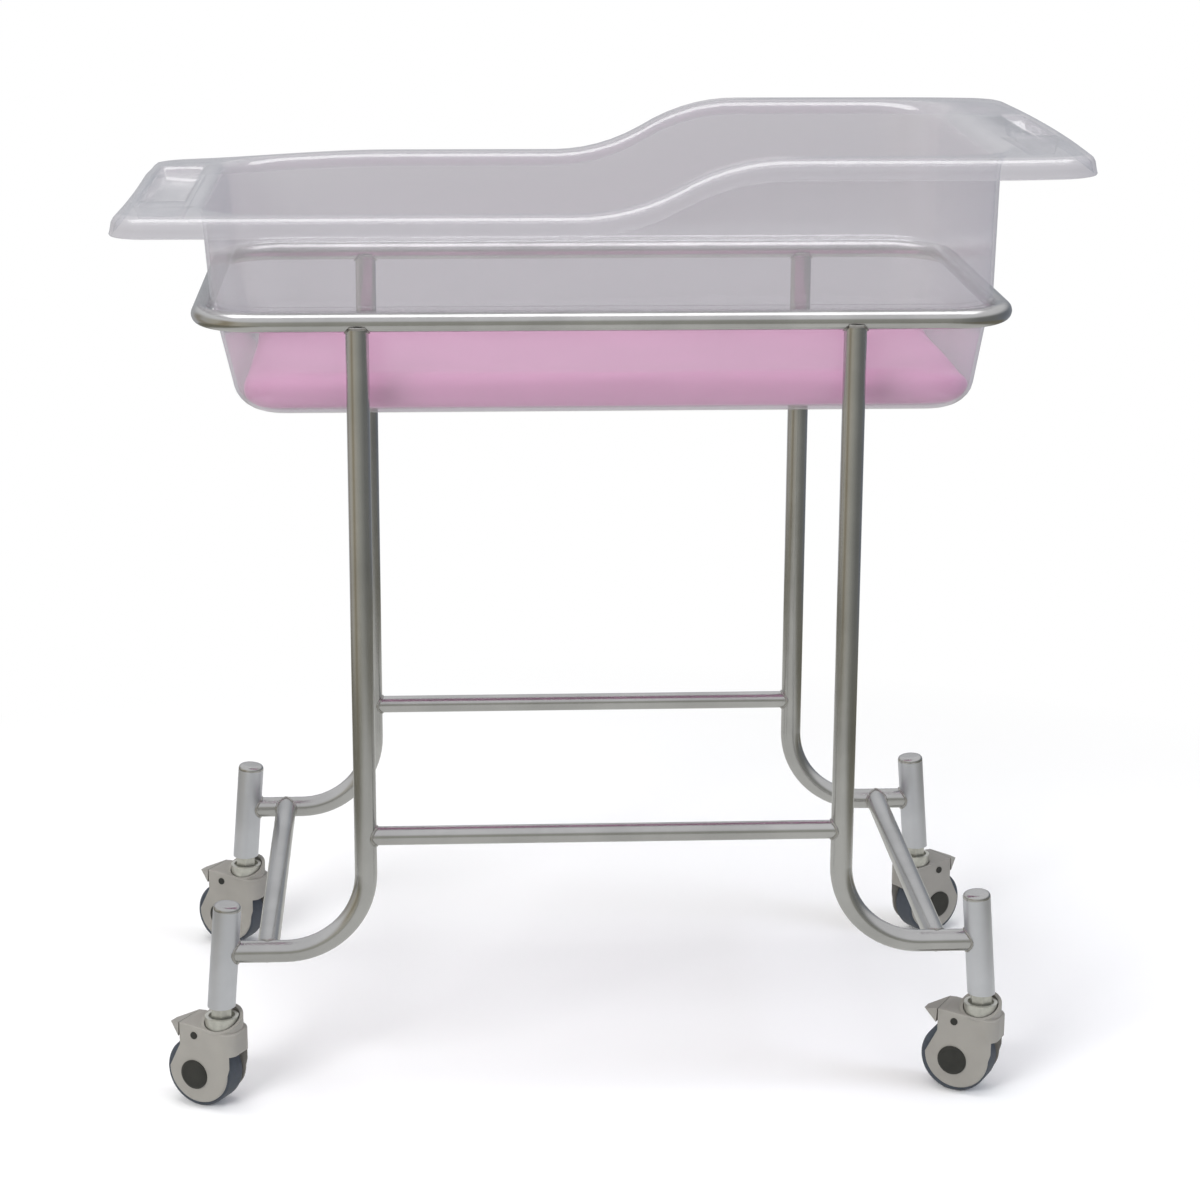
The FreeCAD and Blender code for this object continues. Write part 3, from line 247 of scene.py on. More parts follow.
def cover_material():
    """The mattress's pink cover: a fine knit under a soft sheen, in faint patches."""
    material, shader = new_material("mattress_cover")
    patches = object_noise(material, COVER_PATCHES)
    low = scaled(COVER_COLOUR, 1.0 - COVER_CONTRAST)
    high = scaled(COVER_COLOUR, 1.0 + COVER_CONTRAST)
    link(material, ramp(material, patches, [(0.3, low), (0.7, high)]), shader.inputs["Base Color"])
    shader.inputs["Roughness"].default_value = 0.62
    shader.inputs["Specular IOR Level"].default_value = 0.35
    shader.inputs["Sheen Weight"].default_value = 0.25
    shader.inputs["Sheen Roughness"].default_value = 0.4
    coordinates = material.node_tree.nodes.new("ShaderNodeTexCoord")
    threads = []
    for axis in ("X", "Y"):
        wave = add(material, "ShaderNodeTexWave", Scale=KNIT_SCALE, Distortion=1.2, Detail=1.0)
        wave.inputs["Detail Scale"].default_value = 2.0
        wave.bands_direction = axis
        link(material, coordinates.outputs["Object"], wave.inputs["Vector"])
        threads.append(wave.outputs["Fac"])
    bump(material, shader, maths(material, "MULTIPLY", *threads), KNIT_STRENGTH, KNIT_DEPTH)
    return material


steel = steel_material("satin_steel", STEEL_COLOUR, 0.16, 0.28)
post_steel = steel_material("post_steel", POST_COLOUR, 0.34, 0.46)
zinc = mottled("zinc_steel", ZINC_COLOUR, 0.14, 0.006, 0.36, metallic=0.85, grain=(0.0012, 0.00008))
weld_steel = mottled("weld_steel", WELD_COLOUR, 0.12, 0.004, 0.34, metallic=1.0, grain=(0.002, 0.0003))
housing_plastic = mottled("housing_plastic", HOUSING_COLOUR, 0.05, 0.02, 0.46, grain=(0.0007, 0.00005))
black_plastic = mottled("black_plastic", BLACK_COLOUR, 0.25, 0.008, 0.5, grain=(0.0009, 0.00008))
tread_rubber = mottled("tread_rubber", TREAD_COLOUR, 0.16, 0.005, 0.62, grain=(0.001, 0.00012))
core_plastic = mottled("wheel_core", CORE_COLOUR, 0.08, 0.01, 0.5, grain=(0.001, 0.00006))
clear_plastic = clear_material()
mattress_cover = cover_material()

SLOT_MATERIALS = {
    "steel": steel,
    "zinc_steel": zinc,
    "clear_plastic": clear_plastic,
    "mattress_cover": mattress_cover,
    "housing_plastic": housing_plastic,
    "black_plastic": black_plastic,
    "wheel_core": core_plastic,
    "tread_rubber": tread_rubber,
}


def dress(node, material):
    """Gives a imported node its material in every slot."""
    thing = frame["nodes"][node]
    thing.data.materials.clear()
    thing.data.materials.append(material)


for subpart in frame["record"]["subparts"]:
    plain = SLOT_MATERIALS[subpart["material_slot"]]
    dress(subpart["node"], post_steel if subpart["node"].startswith("caster_post") else plain)


# ---------------------------------------------------------------- mesh helpers


def mesh_object(name, vertices, faces, material, smooth=True):
    mesh = bpy.data.meshes.new(name)
    mesh.from_pydata(vertices, [], faces)
    mesh.validate()
    for polygon in mesh.polygons:
        polygon.use_smooth = smooth
    thing = bpy.data.objects.new(name, mesh)
    bpy.context.scene.collection.objects.link(thing)
    thing.data.materials.append(material)
    return thing


def outward_normals(thing):
    """Turns every face of a closed mesh outwards."""
    work = bmesh.new()
    work.from_mesh(thing.data)
    bmesh.ops.recalc_face_normals(work, faces=work.faces)
    work.to_mesh(thing.data)
    work.free()


def apply_modifiers(thing):
    """Replaces the mesh with what its modifiers make of it."""
    graph = bpy.context.evaluated_depsgraph_get()
    result = bpy.data.meshes.new_from_object(thing.evaluated_get(graph))
    thing.modifiers.clear()
    thing.data = result


def smoothstep(low, high, value):
    share = min(1.0, max(0.0, (value - low) / (high - low)))
    return share * share * (3.0 - 2.0 * share)


def between(first, second, share):
    return first + (second - first) * share


# ---------------------------------------------------------------- tub

RING_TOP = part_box("support_ring")[1].z
TUB_LOW, TUB_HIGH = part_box("tub")

WALL = 3.0 * MM
BOTTOM_Z = TUB_LOW.z
HEAD_Z = TUB_HIGH.z
FOOT_Z = HEAD_Z - 46.0 * MM
SKIRT = 16.5 * MM
SHOULDER_Z = RING_TOP + 0.3 * MM
LOFT_TOP_Z = HEAD_Z + SKIRT
CURVE_START, CURVE_LENGTH = -28.0 * MM, 170.0 * MM
END_RIM = TUB_HIGH.x
WIDE_RIM = TUB_HIGH.y
NARROW_RIM = 225.0 * MM

# Levels of the basin's outside: foot end, head end, half widths at the foot and head, corner radius
BOTTOM = (303.0 * MM, 310.0 * MM, 159.0 * MM, 159.0 * MM, 42.0 * MM)
NECK = (322.4 * MM, 322.4 * MM, 177.4 * MM, 177.4 * MM, 44.0 * MM)
SHOULDER = (323.4 * MM, 323.4 * MM, 190.0 * MM, 190.0 * MM, 52.0 * MM)
TOP = (333.6 * MM, 324.9 * MM, 203.0 * MM, 203.0 * MM, 58.0 * MM)
RIM = (END_RIM, END_RIM, NARROW_RIM, WIDE_RIM, 32.0 * MM)

FLOOR_ROUND = 20.0 * MM
FLOOR_MIDDLE = 45.0 * MM
LEDGE_TOP = 6.0 * MM
RIM_START = 1.4 * MM
INSIDE_EDGE = 9.0 * MM
HEAD_INSIDE_EDGE = 18.0 * MM
OUTSIDE_EDGE = 5.0 * MM
HEAD_OUTSIDE_EDGE = 14.0 * MM
RIM_EDGE = 10.0 * MM

FOOT_HOLLOW = 5.0 * MM
HEAD_BULGE = 7.0 * MM
HEAD_NARROWING = 13.0 * MM
BEND_START, BEND_END = 330.0 * MM, 380.0 * MM
NARROWING_START = 285.0 * MM
CORNER_DROOP = 9.0 * MM
DROOP_START, DROOP_NEAR = 180.0 * MM, 40.0 * MM
LEAST_CORNER = 4.0 * MM

TRAY = {"near": 343.0 * MM, "far": 383.0 * MM, "half": 125.0 * MM, "depth": 14.0 * MM, "slope": 6.0 * MM}
SLOT = {"near": 365.0 * MM, "far": 387.0 * MM, "half": 61.0 * MM, "depth": 15.0 * MM, "slope": 2.0 * MM}

# Stations along the half of an end that is straight at every level, as distances from the middle
END_HALF = 145.0 * MM
END_STATIONS = [
    place * MM
    for place in (0, 16, 32, 46, 54, 59, 60, 61, 62, 75, 90, 105, 113, 119, 121, 123, 125, 127, 136, 145)
]
CORNER_STEPS = 10
SIDE_STEPS = 56
FLOOR_STEPS = 6
SHELF_STEPS = 11
LOWER_RISES = [rise * MM for rise in (34, 52, 70, 84)]
UPPER_SHARES = [0.15, 0.4, 0.7, 0.9]
WALL_TOP_SHARE = 0.6


def rim_height(x):
    """The rim's height along the tub: low, an S of two equal arcs, high."""
    rise = HEAD_Z - FOOT_Z
    radius = (CURVE_LENGTH ** 2 + rise ** 2) / (4.0 * rise)
    along = min(CURVE_LENGTH, max(0.0, x - CURVE_START))
    if along <= CURVE_LENGTH / 2.0:
        return FOOT_Z + radius - math.sqrt(radius ** 2 - along ** 2)
    back = CURVE_LENGTH - along
    return HEAD_Z - radius + math.sqrt(radius ** 2 - back ** 2)


def rim_warp(x, y):
    """How far the moulding stands from the plain curve: the far foot corner droops a little."""
    along = smoothstep(DROOP_START, END_RIM, -x)
    across = smoothstep(DROOP_NEAR, NARROW_RIM, y)
    return -CORNER_DROOP * along * across


def half_width(level, x):
    """Half the width at x: one value, or for the rim a smooth change from the foot's to the head's."""
    return between(level[2], level[3], smoothstep(CURVE_START, CURVE_START + CURVE_LENGTH, x))


def mixed(first, second, share):
    return tuple(between(a, b, share) for a, b in zip(first, second))


def outline(level, inset=0.0):
    """The level's plan outline, moved in by the inset, as the same stations at every level."""
    foot, head, half_foot, half_head, corner = level
    foot, head = foot - inset, head - inset
    turn = max(corner - inset, LEAST_CORNER)
    points = []

    def end_run(x, half, side):
        """The stations of an end, from one corner to the other. The side is the way they go along Y."""
        straight = half - turn
        squeeze = min(1.0, straight / END_HALF)
        reach = [place * squeeze for place in END_STATIONS]
        if straight > END_HALF:
            reach[-1] = straight
        run = [-place for place in reversed(reach[1:])] + reach
        for place in run:
            points.append((x, place * side))

    def corner_run(x, y, start):
        for step in range(1, CORNER_STEPS):
            angle = math.radians(start + 90.0 * step / CORNER_STEPS)
            points.append((x + turn * math.cos(angle), y + turn * math.sin(angle)))

    def side_run(x_start, x_end, side):
        for step in range(SIDE_STEPS + 1):
            x = between(x_start, x_end, step / SIDE_STEPS)
            points.append((x, side * (half_width(level, x) - inset)))

    half_head, half_foot = half_head - inset, half_foot - inset
    end_run(head, half_head, 1)
    corner_run(head - turn, half_head - turn, 0)
    side_run(head - turn, turn - foot, 1)
    corner_run(turn - foot, half_foot - turn, 90)
    end_run(-foot, half_foot, -1)
    corner_run(turn - foot, turn - half_foot, 180)
    side_run(turn - foot, head - turn, -1)
    corner_run(head - turn, turn - half_head, 270)
    return points


def end_curve(points):
    """Bends a rim outline's ends: the foot end a little hollow, the head end a little full and narrower."""
    bent = []
    for x, y in points:
        if x < 0:
            middle = 1.0 - min(1.0, (y / NARROW_RIM) ** 2)
            bent.append((x + FOOT_HOLLOW * middle * smoothstep(BEND_START, BEND_END, -x), y))
            continue
        beyond = max(0.0, x - NARROWING_START) / (END_RIM - NARROWING_START)
        shift = HEAD_BULGE * (y / WIDE_RIM) ** 2 * smoothstep(BEND_START, BEND_END, x)
        bent.append((x - shift, y * (1.0 - HEAD_NARROWING / WIDE_RIM * beyond ** 2)))
    return bent


def recess_depth(x, y, recess, end, outset=0.0):
    """The depth of the tray or slot under the shelf at one point."""
    along = x * end
    inside = min(
        along - (recess["near"] - outset),
        recess["far"] + outset - along,
        recess["half"] + outset - abs(y),
    )
    return recess["depth"] * smoothstep(0.0, recess["slope"], inside)


def end_wall(end, z):
    """How far out the basin's wall is at the foot (0) or the head (1) at a height above the hoop."""
    return between(SHOULDER[end], TOP[end], (z - SHOULDER_Z) / (LOFT_TOP_Z - SHOULDER_Z))


def shelf_shares(end):
    """Where the shelf's rows stand between wall and rim. Some follow the edges of that end's recess."""
    if end == "foot":
        wall, rim, recess, turn = end_wall(0, FOOT_Z), RIM[0] - FOOT_HOLLOW, TRAY, INSIDE_EDGE
    elif end == "head":
        wall, rim, recess, turn = end_wall(1, HEAD_Z), RIM[1], SLOT, HEAD_INSIDE_EDGE
    else:
        return [step / SHELF_STEPS for step in range(SHELF_STEPS + 1)]
    steps = (0.0, 0.35, 0.65, 1.0)
    places = [recess["near"] + recess["slope"] * step for step in steps]
    places += [between(recess["near"] + recess["slope"], recess["far"] - recess["slope"], 0.5)]
    places += [recess["far"] - recess["slope"] * step for step in reversed(steps)]
    inner, outer = wall + turn - WALL, rim - RIM_EDGE
    shares = [(place - inner) / (outer - inner) for place in places]
    return [0.0, *[min(0.97, max(0.03, share)) for share in shares], 0.985, 1.0]


def station_ends(count):
    """For each station, how much it belongs to the head end, a side and the foot end."""
    end_count = 2 * len(END_STATIONS) - 1
    side_count = SIDE_STEPS + 1
    weights = []
    for end in ("head", "foot"):
        weights += [{end: 1.0}] * end_count
        for step in range(1, CORNER_STEPS):
            share = step / CORNER_STEPS
            weights.append({end: 1.0 - share, "side": share})
        weights += [{"side": 1.0}] * side_count
        other = "foot" if end == "head" else "head"
        for step in range(1, CORNER_STEPS):
            share = step / CORNER_STEPS
            weights.append({"side": 1.0 - share, other: share})
    assert len(weights) == count
    return weights


def wall_row(level_low, level_high, z_low, z_high, heights, inset):
    """A row of the basin's wall between two levels, with a height for each station."""
    row = []
    for (x0, y0), (x1, y1), z in zip(outline(level_low, inset), outline(level_high, inset), heights):
        share = (z - z_low) / (z_high - z_low)
        row.append((between(x0, x1, share), between(y0, y1, share), z))
    return row


def tub_rows():
    """The tub's closed skin as rows of stations, from its floor's middle out, over the rim and back."""
    rows = []
    rim_z = [rim_height(x) + rim_warp(x, y) for x, y in end_curve(outline(RIM))]
    wall_z = [rim_height(x) + rim_warp(x, y) for x, y in outline(mixed(SHOULDER, TOP, WALL_TOP_SHARE))]

    def floor_rows(z_floor, inset, turn, outwards):
        """The floor and its round edge up to the wall."""
        angles = [math.radians(90.0 * step / FLOOR_STEPS) for step in range(FLOOR_STEPS + 1)]
        made = [[(x, y, z_floor) for x, y in outline(BOTTOM, inset + turn + FLOOR_MIDDLE)]]
        for angle in angles:
            away = inset + turn * (1.0 - math.sin(angle))
            z = z_floor + turn * (1.0 - math.cos(angle))
            share = max(0.0, (z - BOTTOM_Z) / (SHOULDER_Z - BOTTOM_Z))
            made.append([(x, y, z) for x, y in outline(mixed(BOTTOM, NECK, share), away)])
        return made if outwards else made[::-1]

    def lower_wall(inset, rises):
        for rise in rises:
            heights = [BOTTOM_Z + rise] * len(wall_z)
            rows.append(wall_row(BOTTOM, NECK, BOTTOM_Z, SHOULDER_Z, heights, inset))

    def upper_wall(inset, shares):
        for share in shares:
            heights = [between(SHOULDER_Z + LEDGE_TOP, top - INSIDE_EDGE, share) for top in wall_z]
            rows.append(wall_row(SHOULDER, TOP, SHOULDER_Z, LOFT_TOP_Z, heights, inset))

    def ledge(inset, lift, shares):
        """The shoulder's soft step from the neck out to the upper wall."""
        for share, rise in shares:
            z = SHOULDER_Z + lift + rise * MM
            rows.append([(x, y, z) for x, y in outline(mixed(NECK, SHOULDER, share), inset)])

    def shelf_edge(inset, turn, head_turn, drop, angles):
        """The round edge between the wall and the shelf, with a size of its own at the head."""
        low, high = outline(SHOULDER, inset), outline(TOP, inset)
        low_in, high_in = outline(SHOULDER, inset + MM), outline(TOP, inset + MM)
        turns = [between(turn, head_turn, ends.get("head", 0.0)) for ends in station_ends(len(low))]
        for degrees in angles:
            angle = math.radians(degrees)
            row = []
            for a, b, a_in, b_in, top, round_edge in zip(low, high, low_in, high_in, wall_z, turns):
                share = (top - SHOULDER_Z) / (LOFT_TOP_Z - SHOULDER_Z)
                away = round_edge * (1.0 - math.cos(angle)) / MM
                x, y = (between(low_way, high_way, share) for low_way, high_way in zip(a, b))
                x_in, y_in = (between(low_way, high_way, share) for low_way, high_way in zip(a_in, b_in))
                z = top - drop - round_edge * (1.0 - math.sin(angle))
                row.append((x + (x - x_in) * away, y + (y - y_in) * away, z))
            rows.append(row)

    def shelf(inner, outer, numbers, outset):
        """Rows from the wall's edge to the rim's edge, let down into the tray and the slot."""
        weights = station_ends(len(inner))
        for number in numbers:
            row = []
            for (xa, ya, za), (xb, yb, zb), weight in zip(inner, outer, weights):
                share = sum(part * shelf_shares(end)[number] for end, part in weight.items())
                x, y = between(xa, xb, share), between(ya, yb, share)
                z = between(za, zb, share)
                z -= recess_depth(x, y, TRAY, -1, outset) + recess_depth(x, y, SLOT, 1, outset)
                row.append((x, y, z))
            rows.append(row)

    def rim_row(inset, drop):
        points = end_curve(outline(RIM, inset))
        return [(x, y, z - drop * MM) for (x, y), z in zip(points, rim_z)]

    # Inside: floor, wall, shoulder, wall, shelf
    rows.extend(floor_rows(BOTTOM_Z + WALL, WALL, FLOOR_ROUND - WALL, True))
    lower_wall(WALL, LOWER_RISES)
    ledge(WALL, WALL, [(0.0, -2.2), (0.12, -0.4), (0.5, 0.0), (0.88, 0.6), (1.0, 2.6)])
    upper_wall(WALL, UPPER_SHARES)
    shelf_edge(WALL, INSIDE_EDGE, HEAD_INSIDE_EDGE, 0.0, [0, 18, 36, 54, 72, 90])
    count = len(shelf_shares("side"))
    shelf(rows[-1], rim_row(RIM_EDGE, 0.0), range(1, count - 1), 0.0)
    # Rim: round edge, skirt, lip
    for degrees in (0, 22, 45, 67, 90):
        angle = math.radians(degrees)
        inset = RIM_START + (RIM_EDGE - RIM_START) * (1.0 - math.sin(angle))
        rows.append(rim_row(inset, RIM_EDGE / MM * (1.0 - math.cos(angle))))
    skirt = ((0.9, 12.5), (0.3, 14.5), (0.0, 15.6), (0.5, 16.5), (2.2, 16.5), (3.0, 15.4), (3.9, 12.5))
    underside = ((4.4, 10.0), (5.3, 6.5), (7.9, 3.9), (11.4, 3.0))
    for inset, drop in skirt + underside:
        rows.append(rim_row(inset * MM, drop))
    # Outside: shelf, wall, shoulder, wall, floor
    outer = rows[-1]
    shelf_edge(0.0, OUTSIDE_EDGE, HEAD_OUTSIDE_EDGE, WALL, [90])
    inner = rows.pop()
    shelf(inner, outer, range(count - 2, 0, -1), WALL)
    shelf_edge(0.0, OUTSIDE_EDGE, HEAD_OUTSIDE_EDGE, WALL, [90, 60, 30, 0])
    upper_wall(0.0, UPPER_SHARES[::-1])
    ledge(0.0, 0.0, [(1.0, 2.4), (0.9, 0.5), (0.5, 0.0), (0.1, -0.5), (0.0, -2.6)])
    lower_wall(0.0, LOWER_RISES[::-1])
    rows.extend(floor_rows(BOTTOM_Z, 0.0, FLOOR_ROUND, False))
    return rows


def skin(name, rows, material):
    """A closed mesh from rows of equal length, with a flat face over the first and the last."""
    width = len(rows[0])
    vertices = [point for row in rows for point in row]
    faces = []
    for level in range(len(rows) - 1):
        for step in range(width):
            following = (step + 1) % width
            low, high = level * width, (level + 1) * width
            faces.append((low + step, low + following, high + following, high + step))
    faces.append(tuple(reversed(range(width))))
    faces.append(tuple(range((len(rows) - 1) * width, len(rows) * width)))
    thing = mesh_object(name, vertices, faces, material)
    outward_normals(thing)
    return thing


tub = skin("clear_tub", tub_rows(), clear_plastic)
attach(tub, "tub")
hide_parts("tub")


# ---------------------------------------------------------------- mattress

PAD_LOW, PAD_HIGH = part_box("mattress")
PAD_SHRINK = 0.5 * MM
PAD_REACH = 8.5 * MM
PAD_CORNER = 24.0 * MM
PAD_VOXEL = 5.5 * MM
PAD_PRESSURE = 1.2
PAD_FRAMES = 16
PAD_CAP = 6.0 * MM
PAD_CROWN = 3.0 * MM
PAD_LIFT = 0.2 * MM
PAD_HEADROOM = 1.0 * MM
PAD_SLOPE_START, PAD_SLOPE_RISE = 0.25, 18.0
PAD_CORNER_LEAST = 8.0 * MM
PAD_CORNER_STEPS = 8
PAD_DENT, PAD_DENT_SCALE = 2.2 * MM, 11.0
PAD_SOFT_EDGE = 6.0 * MM
PAD_STIFFNESS_OUT, PAD_STIFFNESS_IN = 18.0, 12.0
PAD_QUALITY = 5
PAD_SOFTEN, PAD_SOFTENINGS = 0.5, 6


def pad_outline(inset):
    """The pad's plan outline: straight sides between round corners."""
    half_x = (PAD_HIGH.x - PAD_LOW.x) / 2.0 - inset
    half_y = (PAD_HIGH.y - PAD_LOW.y) / 2.0 - inset
    middle = (PAD_HIGH.x + PAD_LOW.x) / 2.0
    turn = max(PAD_CORNER - inset, PAD_CORNER_LEAST)
    points = []
    quarters = ((1, 1, 0), (-1, 1, 90), (-1, -1, 180), (1, -1, 270))
    for x_side, y_side, start in quarters:
        for step in range(PAD_CORNER_STEPS + 1):
            angle = math.radians(start + 90.0 * step / PAD_CORNER_STEPS)
            x = x_side * (half_x - turn) + turn * math.cos(angle)
            y = y_side * (half_y - turn) + turn * math.sin(angle)
            points.append((middle + x, y))
    return points


def pad_shape():
    """The unswollen pad: a flat bottom, round edges and ends that lean out with the tub's walls."""
    bottom, top = PAD_LOW.z + PAD_LIFT, PAD_HIGH.z - PAD_CROWN
    profile = [
        (13.5, 0.0), (8.5, 0.8), (4.2, 3.0), (2.0, 6.0), (0.6, 11.0),
        (0.0, 17.0), (0.7, 22.0), (2.8, 25.5), (6.5, 27.5), (11.0, 28.0),
    ]
    rows = []
    for inset, rise in profile:
        z = between(bottom, top, rise / profile[-1][1])
        slope = min(1.0, PAD_SLOPE_START + rise / PAD_SLOPE_RISE)
        stretch = 1.0 + PAD_REACH / PAD_HIGH.x * slope
        rows.append([(x * stretch, y, z) for x, y in pad_outline(PAD_SHRINK + inset * MM)])
    return skin("mattress_pad", rows, mattress_cover)


def limit_pad(thing, rest):
    """Keeps each point near its rest place, on the tub's floor and inside the CAD pad's sides."""
    for vertex, start in zip(thing.data.vertices, rest):
        move = vertex.co - start
        if move.length > PAD_CAP:
            vertex.co = start + move.normalized() * PAD_CAP
        vertex.co.x = min(PAD_HIGH.x + PAD_REACH, max(PAD_LOW.x - PAD_REACH, vertex.co.x))
        vertex.co.y = min(PAD_HIGH.y, max(PAD_LOW.y, vertex.co.y))
        vertex.co.z = min(PAD_HIGH.z + PAD_HEADROOM, max(PAD_LOW.z, vertex.co.z))


def swell(thing):
    """Dents the cover and fills it by a short cloth simulation with pressure and no gravity."""
    remesh = thing.modifiers.new("remesh", "REMESH")
    remesh.mode = "VOXEL"
    remesh.voxel_size = PAD_VOXEL
    apply_modifiers(thing)
    for vertex in thing.data.vertices:
        height = smoothstep(PAD_LOW.z + PAD_SOFT_EDGE, PAD_HIGH.z - PAD_SOFT_EDGE, vertex.co.z)
        vertex.co.z += PAD_DENT * noise.noise(vertex.co * PAD_DENT_SCALE) * height
    rest = [vertex.co.copy() for vertex in thing.data.vertices]
    cloth = thing.modifiers.new("cloth", "CLOTH")
    cloth.settings.use_pressure = True
    cloth.settings.uniform_pressure_force = PAD_PRESSURE
    cloth.settings.effector_weights.gravity = 0.0
    cloth.settings.quality = PAD_QUALITY
    cloth.settings.tension_stiffness = PAD_STIFFNESS_OUT
    cloth.settings.compression_stiffness = PAD_STIFFNESS_IN
    cloth.point_cache.frame_start = 1
    cloth.point_cache.frame_end = PAD_FRAMES
    scene = bpy.context.scene
    for step in range(1, PAD_FRAMES + 1):
        scene.frame_set(step)
    apply_modifiers(thing)
    scene.frame_set(1)
    limit_pad(thing, rest)


def mattress_pad():
    pad = pad_shape()
    swell(pad)
    soften = pad.modifiers.new("soften", "SMOOTH")
    soften.factor = PAD_SOFTEN
    soften.iterations = PAD_SOFTENINGS
    finer = pad.modifiers.new("finer", "SUBSURF")
    finer.levels = finer.render_levels = 1
    apply_modifiers(pad)
    for polygon in pad.data.polygons:
        polygon.use_smooth = True
    pad.data.materials.clear()
    pad.data.materials.append(mattress_cover)
    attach(pad, "mattress")
    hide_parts("mattress")


mattress_pad()


# ---------------------------------------------------------------- weld beads

LEG_RADIUS = (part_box("leg_head_left")[1].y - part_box("leg_head_left")[0].y) / 2.0
RING_RADIUS = (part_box("support_ring")[1].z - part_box("support_ring")[0].z) / 2.0
RING_MIDDLE_Z = RING_TOP - RING_RADIUS
SIDE_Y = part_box("support_ring")[1].y - RING_RADIUS
STRETCHER_LOW, STRETCHER_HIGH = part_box("stretcher_left")
STRETCHER_RADIUS = (STRETCHER_HIGH.z - STRETCHER_LOW.z) / 2.0
STRETCHER_Z = (STRETCHER_HIGH.z + STRETCHER_LOW.z) / 2.0
BAR_LOW, BAR_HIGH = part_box("cross_bar_head")
BAR_RADIUS = (BAR_HIGH.z - BAR_LOW.z) / 2.0
BAR_X, FOOT_TUBE_Z = (BAR_HIGH.x + BAR_LOW.x) / 2.0, (BAR_HIGH.z + BAR_LOW.z) / 2.0
LEG_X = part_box("leg_head_left")[0].x + LEG_RADIUS
POST_LOW, POST_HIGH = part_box("caster_post_head_left")
POST_RADIUS = (POST_HIGH.y - POST_LOW.y) / 2.0
POST_X, POST_Y = 324.5 * MM, (POST_HIGH.y + POST_LOW.y) / 2.0
POST_LEAN = math.radians(4.7)

BEAD_RADIUS = 1.3 * MM
BEAD_STEPS = 72
BEAD_SIDES = 8
BEAD_WAVE, BEAD_WAVE_TURN = 0.13, 1.9
BEAD_NOISE, BEAD_NOISE_SCALE = 0.18, 400.0
BAR_BEAD_RADIUS = BAR_RADIUS * 0.999
SADDLE_DROP = 4.0 * MM


def bead(name, path):
    """A closed weld bead along the points of the path, with the small ripples of its passes."""
    vertices, faces = [], []
    count = len(path)
    for step, point in enumerate(path):
        ahead, behind = path[(step + 1) % count], path[step - 1]
        along = (ahead - behind).normalized()
        aside = along.orthogonal().normalized()
        other = along.cross(aside)
        wave = BEAD_WAVE * math.sin(step * BEAD_WAVE_TURN)
        reach = BEAD_RADIUS * (1.0 + wave + BEAD_NOISE * noise.noise(point * BEAD_NOISE_SCALE))
        for side in range(BEAD_SIDES):
            angle = 2.0 * math.pi * side / BEAD_SIDES
            vertices.append(point + (aside * math.cos(angle) + other * math.sin(angle)) * reach)
    for step in range(count):
        for side in range(BEAD_SIDES):
            a = step * BEAD_SIDES + side
            b = step * BEAD_SIDES + (side + 1) % BEAD_SIDES
            c = ((step + 1) % count) * BEAD_SIDES + (side + 1) % BEAD_SIDES
            d = ((step + 1) % count) * BEAD_SIDES + side
            faces.append((a, b, c, d))
    thing = mesh_object(name, vertices, faces, weld_steel)
    outward_normals(thing)
    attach(thing, "trolley")


def joint_path(centre, along, across, radius, big_radius, lean=0.0):
    """Where a tube of the radius leaves the surface of a bigger one, which may lean."""
    third = along.cross(across)
    points = []
    for step in range(BEAD_STEPS):
        angle = 2.0 * math.pi * step / BEAD_STEPS
        side = radius * math.cos(angle)
        rise = third.z * radius * math.sin(angle)
        depth = math.sqrt(max(0.0, big_radius ** 2 - side ** 2))
        depth = (depth + rise * math.sin(lean)) / math.cos(lean)
        points.append(centre + along * depth + across * side + third * radius * math.sin(angle))
    return points


def ring_joint_path(x, y):
    """Round the top of a leg, down in the saddle where the hoop lies in it."""
    points = []
    for step in range(BEAD_STEPS):
        angle = 2.0 * math.pi * step / BEAD_STEPS
        side = LEG_RADIUS * math.sin(angle)
        saddle = RING_MIDDLE_Z - math.sqrt(max(0.0, RING_RADIUS ** 2 - side ** 2))
        top = RING_MIDDLE_Z - SADDLE_DROP
        points.append(Vector((x + LEG_RADIUS * math.cos(angle), y + side, min(top, saddle))))
    return points


X_AXIS, Y_AXIS, Z_AXIS = Vector((1, 0, 0)), Vector((0, 1, 0)), Vector((0, 0, 1))
for end_name, end in (("foot", -1), ("head", 1)):
    for side_name, side in (("right", -1), ("left", 1)):
        corner = f"{end_name}_{side_name}"
        leg_place = Vector((end * LEG_X, side * SIDE_Y, 0))
        bead(f"weld_ring_{corner}", ring_joint_path(leg_place.x, leg_place.y))
        stretcher_place = leg_place + Z_AXIS * STRETCHER_Z
        bead(
            f"weld_stretcher_{corner}",
            joint_path(stretcher_place, X_AXIS * -end, Y_AXIS, STRETCHER_RADIUS, LEG_RADIUS),
        )
        bar_place = Vector((end * BAR_X, side * SIDE_Y, FOOT_TUBE_Z))
        bead(
            f"weld_bar_{corner}",
            joint_path(bar_place, Y_AXIS * -side, Z_AXIS, BAR_BEAD_RADIUS, LEG_RADIUS),
        )
        post_place = Vector((end * POST_X, side * POST_Y, FOOT_TUBE_Z))
        bead(
            f"weld_post_{corner}",
            joint_path(post_place, X_AXIS * -end, Y_AXIS, LEG_RADIUS, POST_RADIUS, POST_LEAN),
        )


# ---------------------------------------------------------------- floor, light and camera

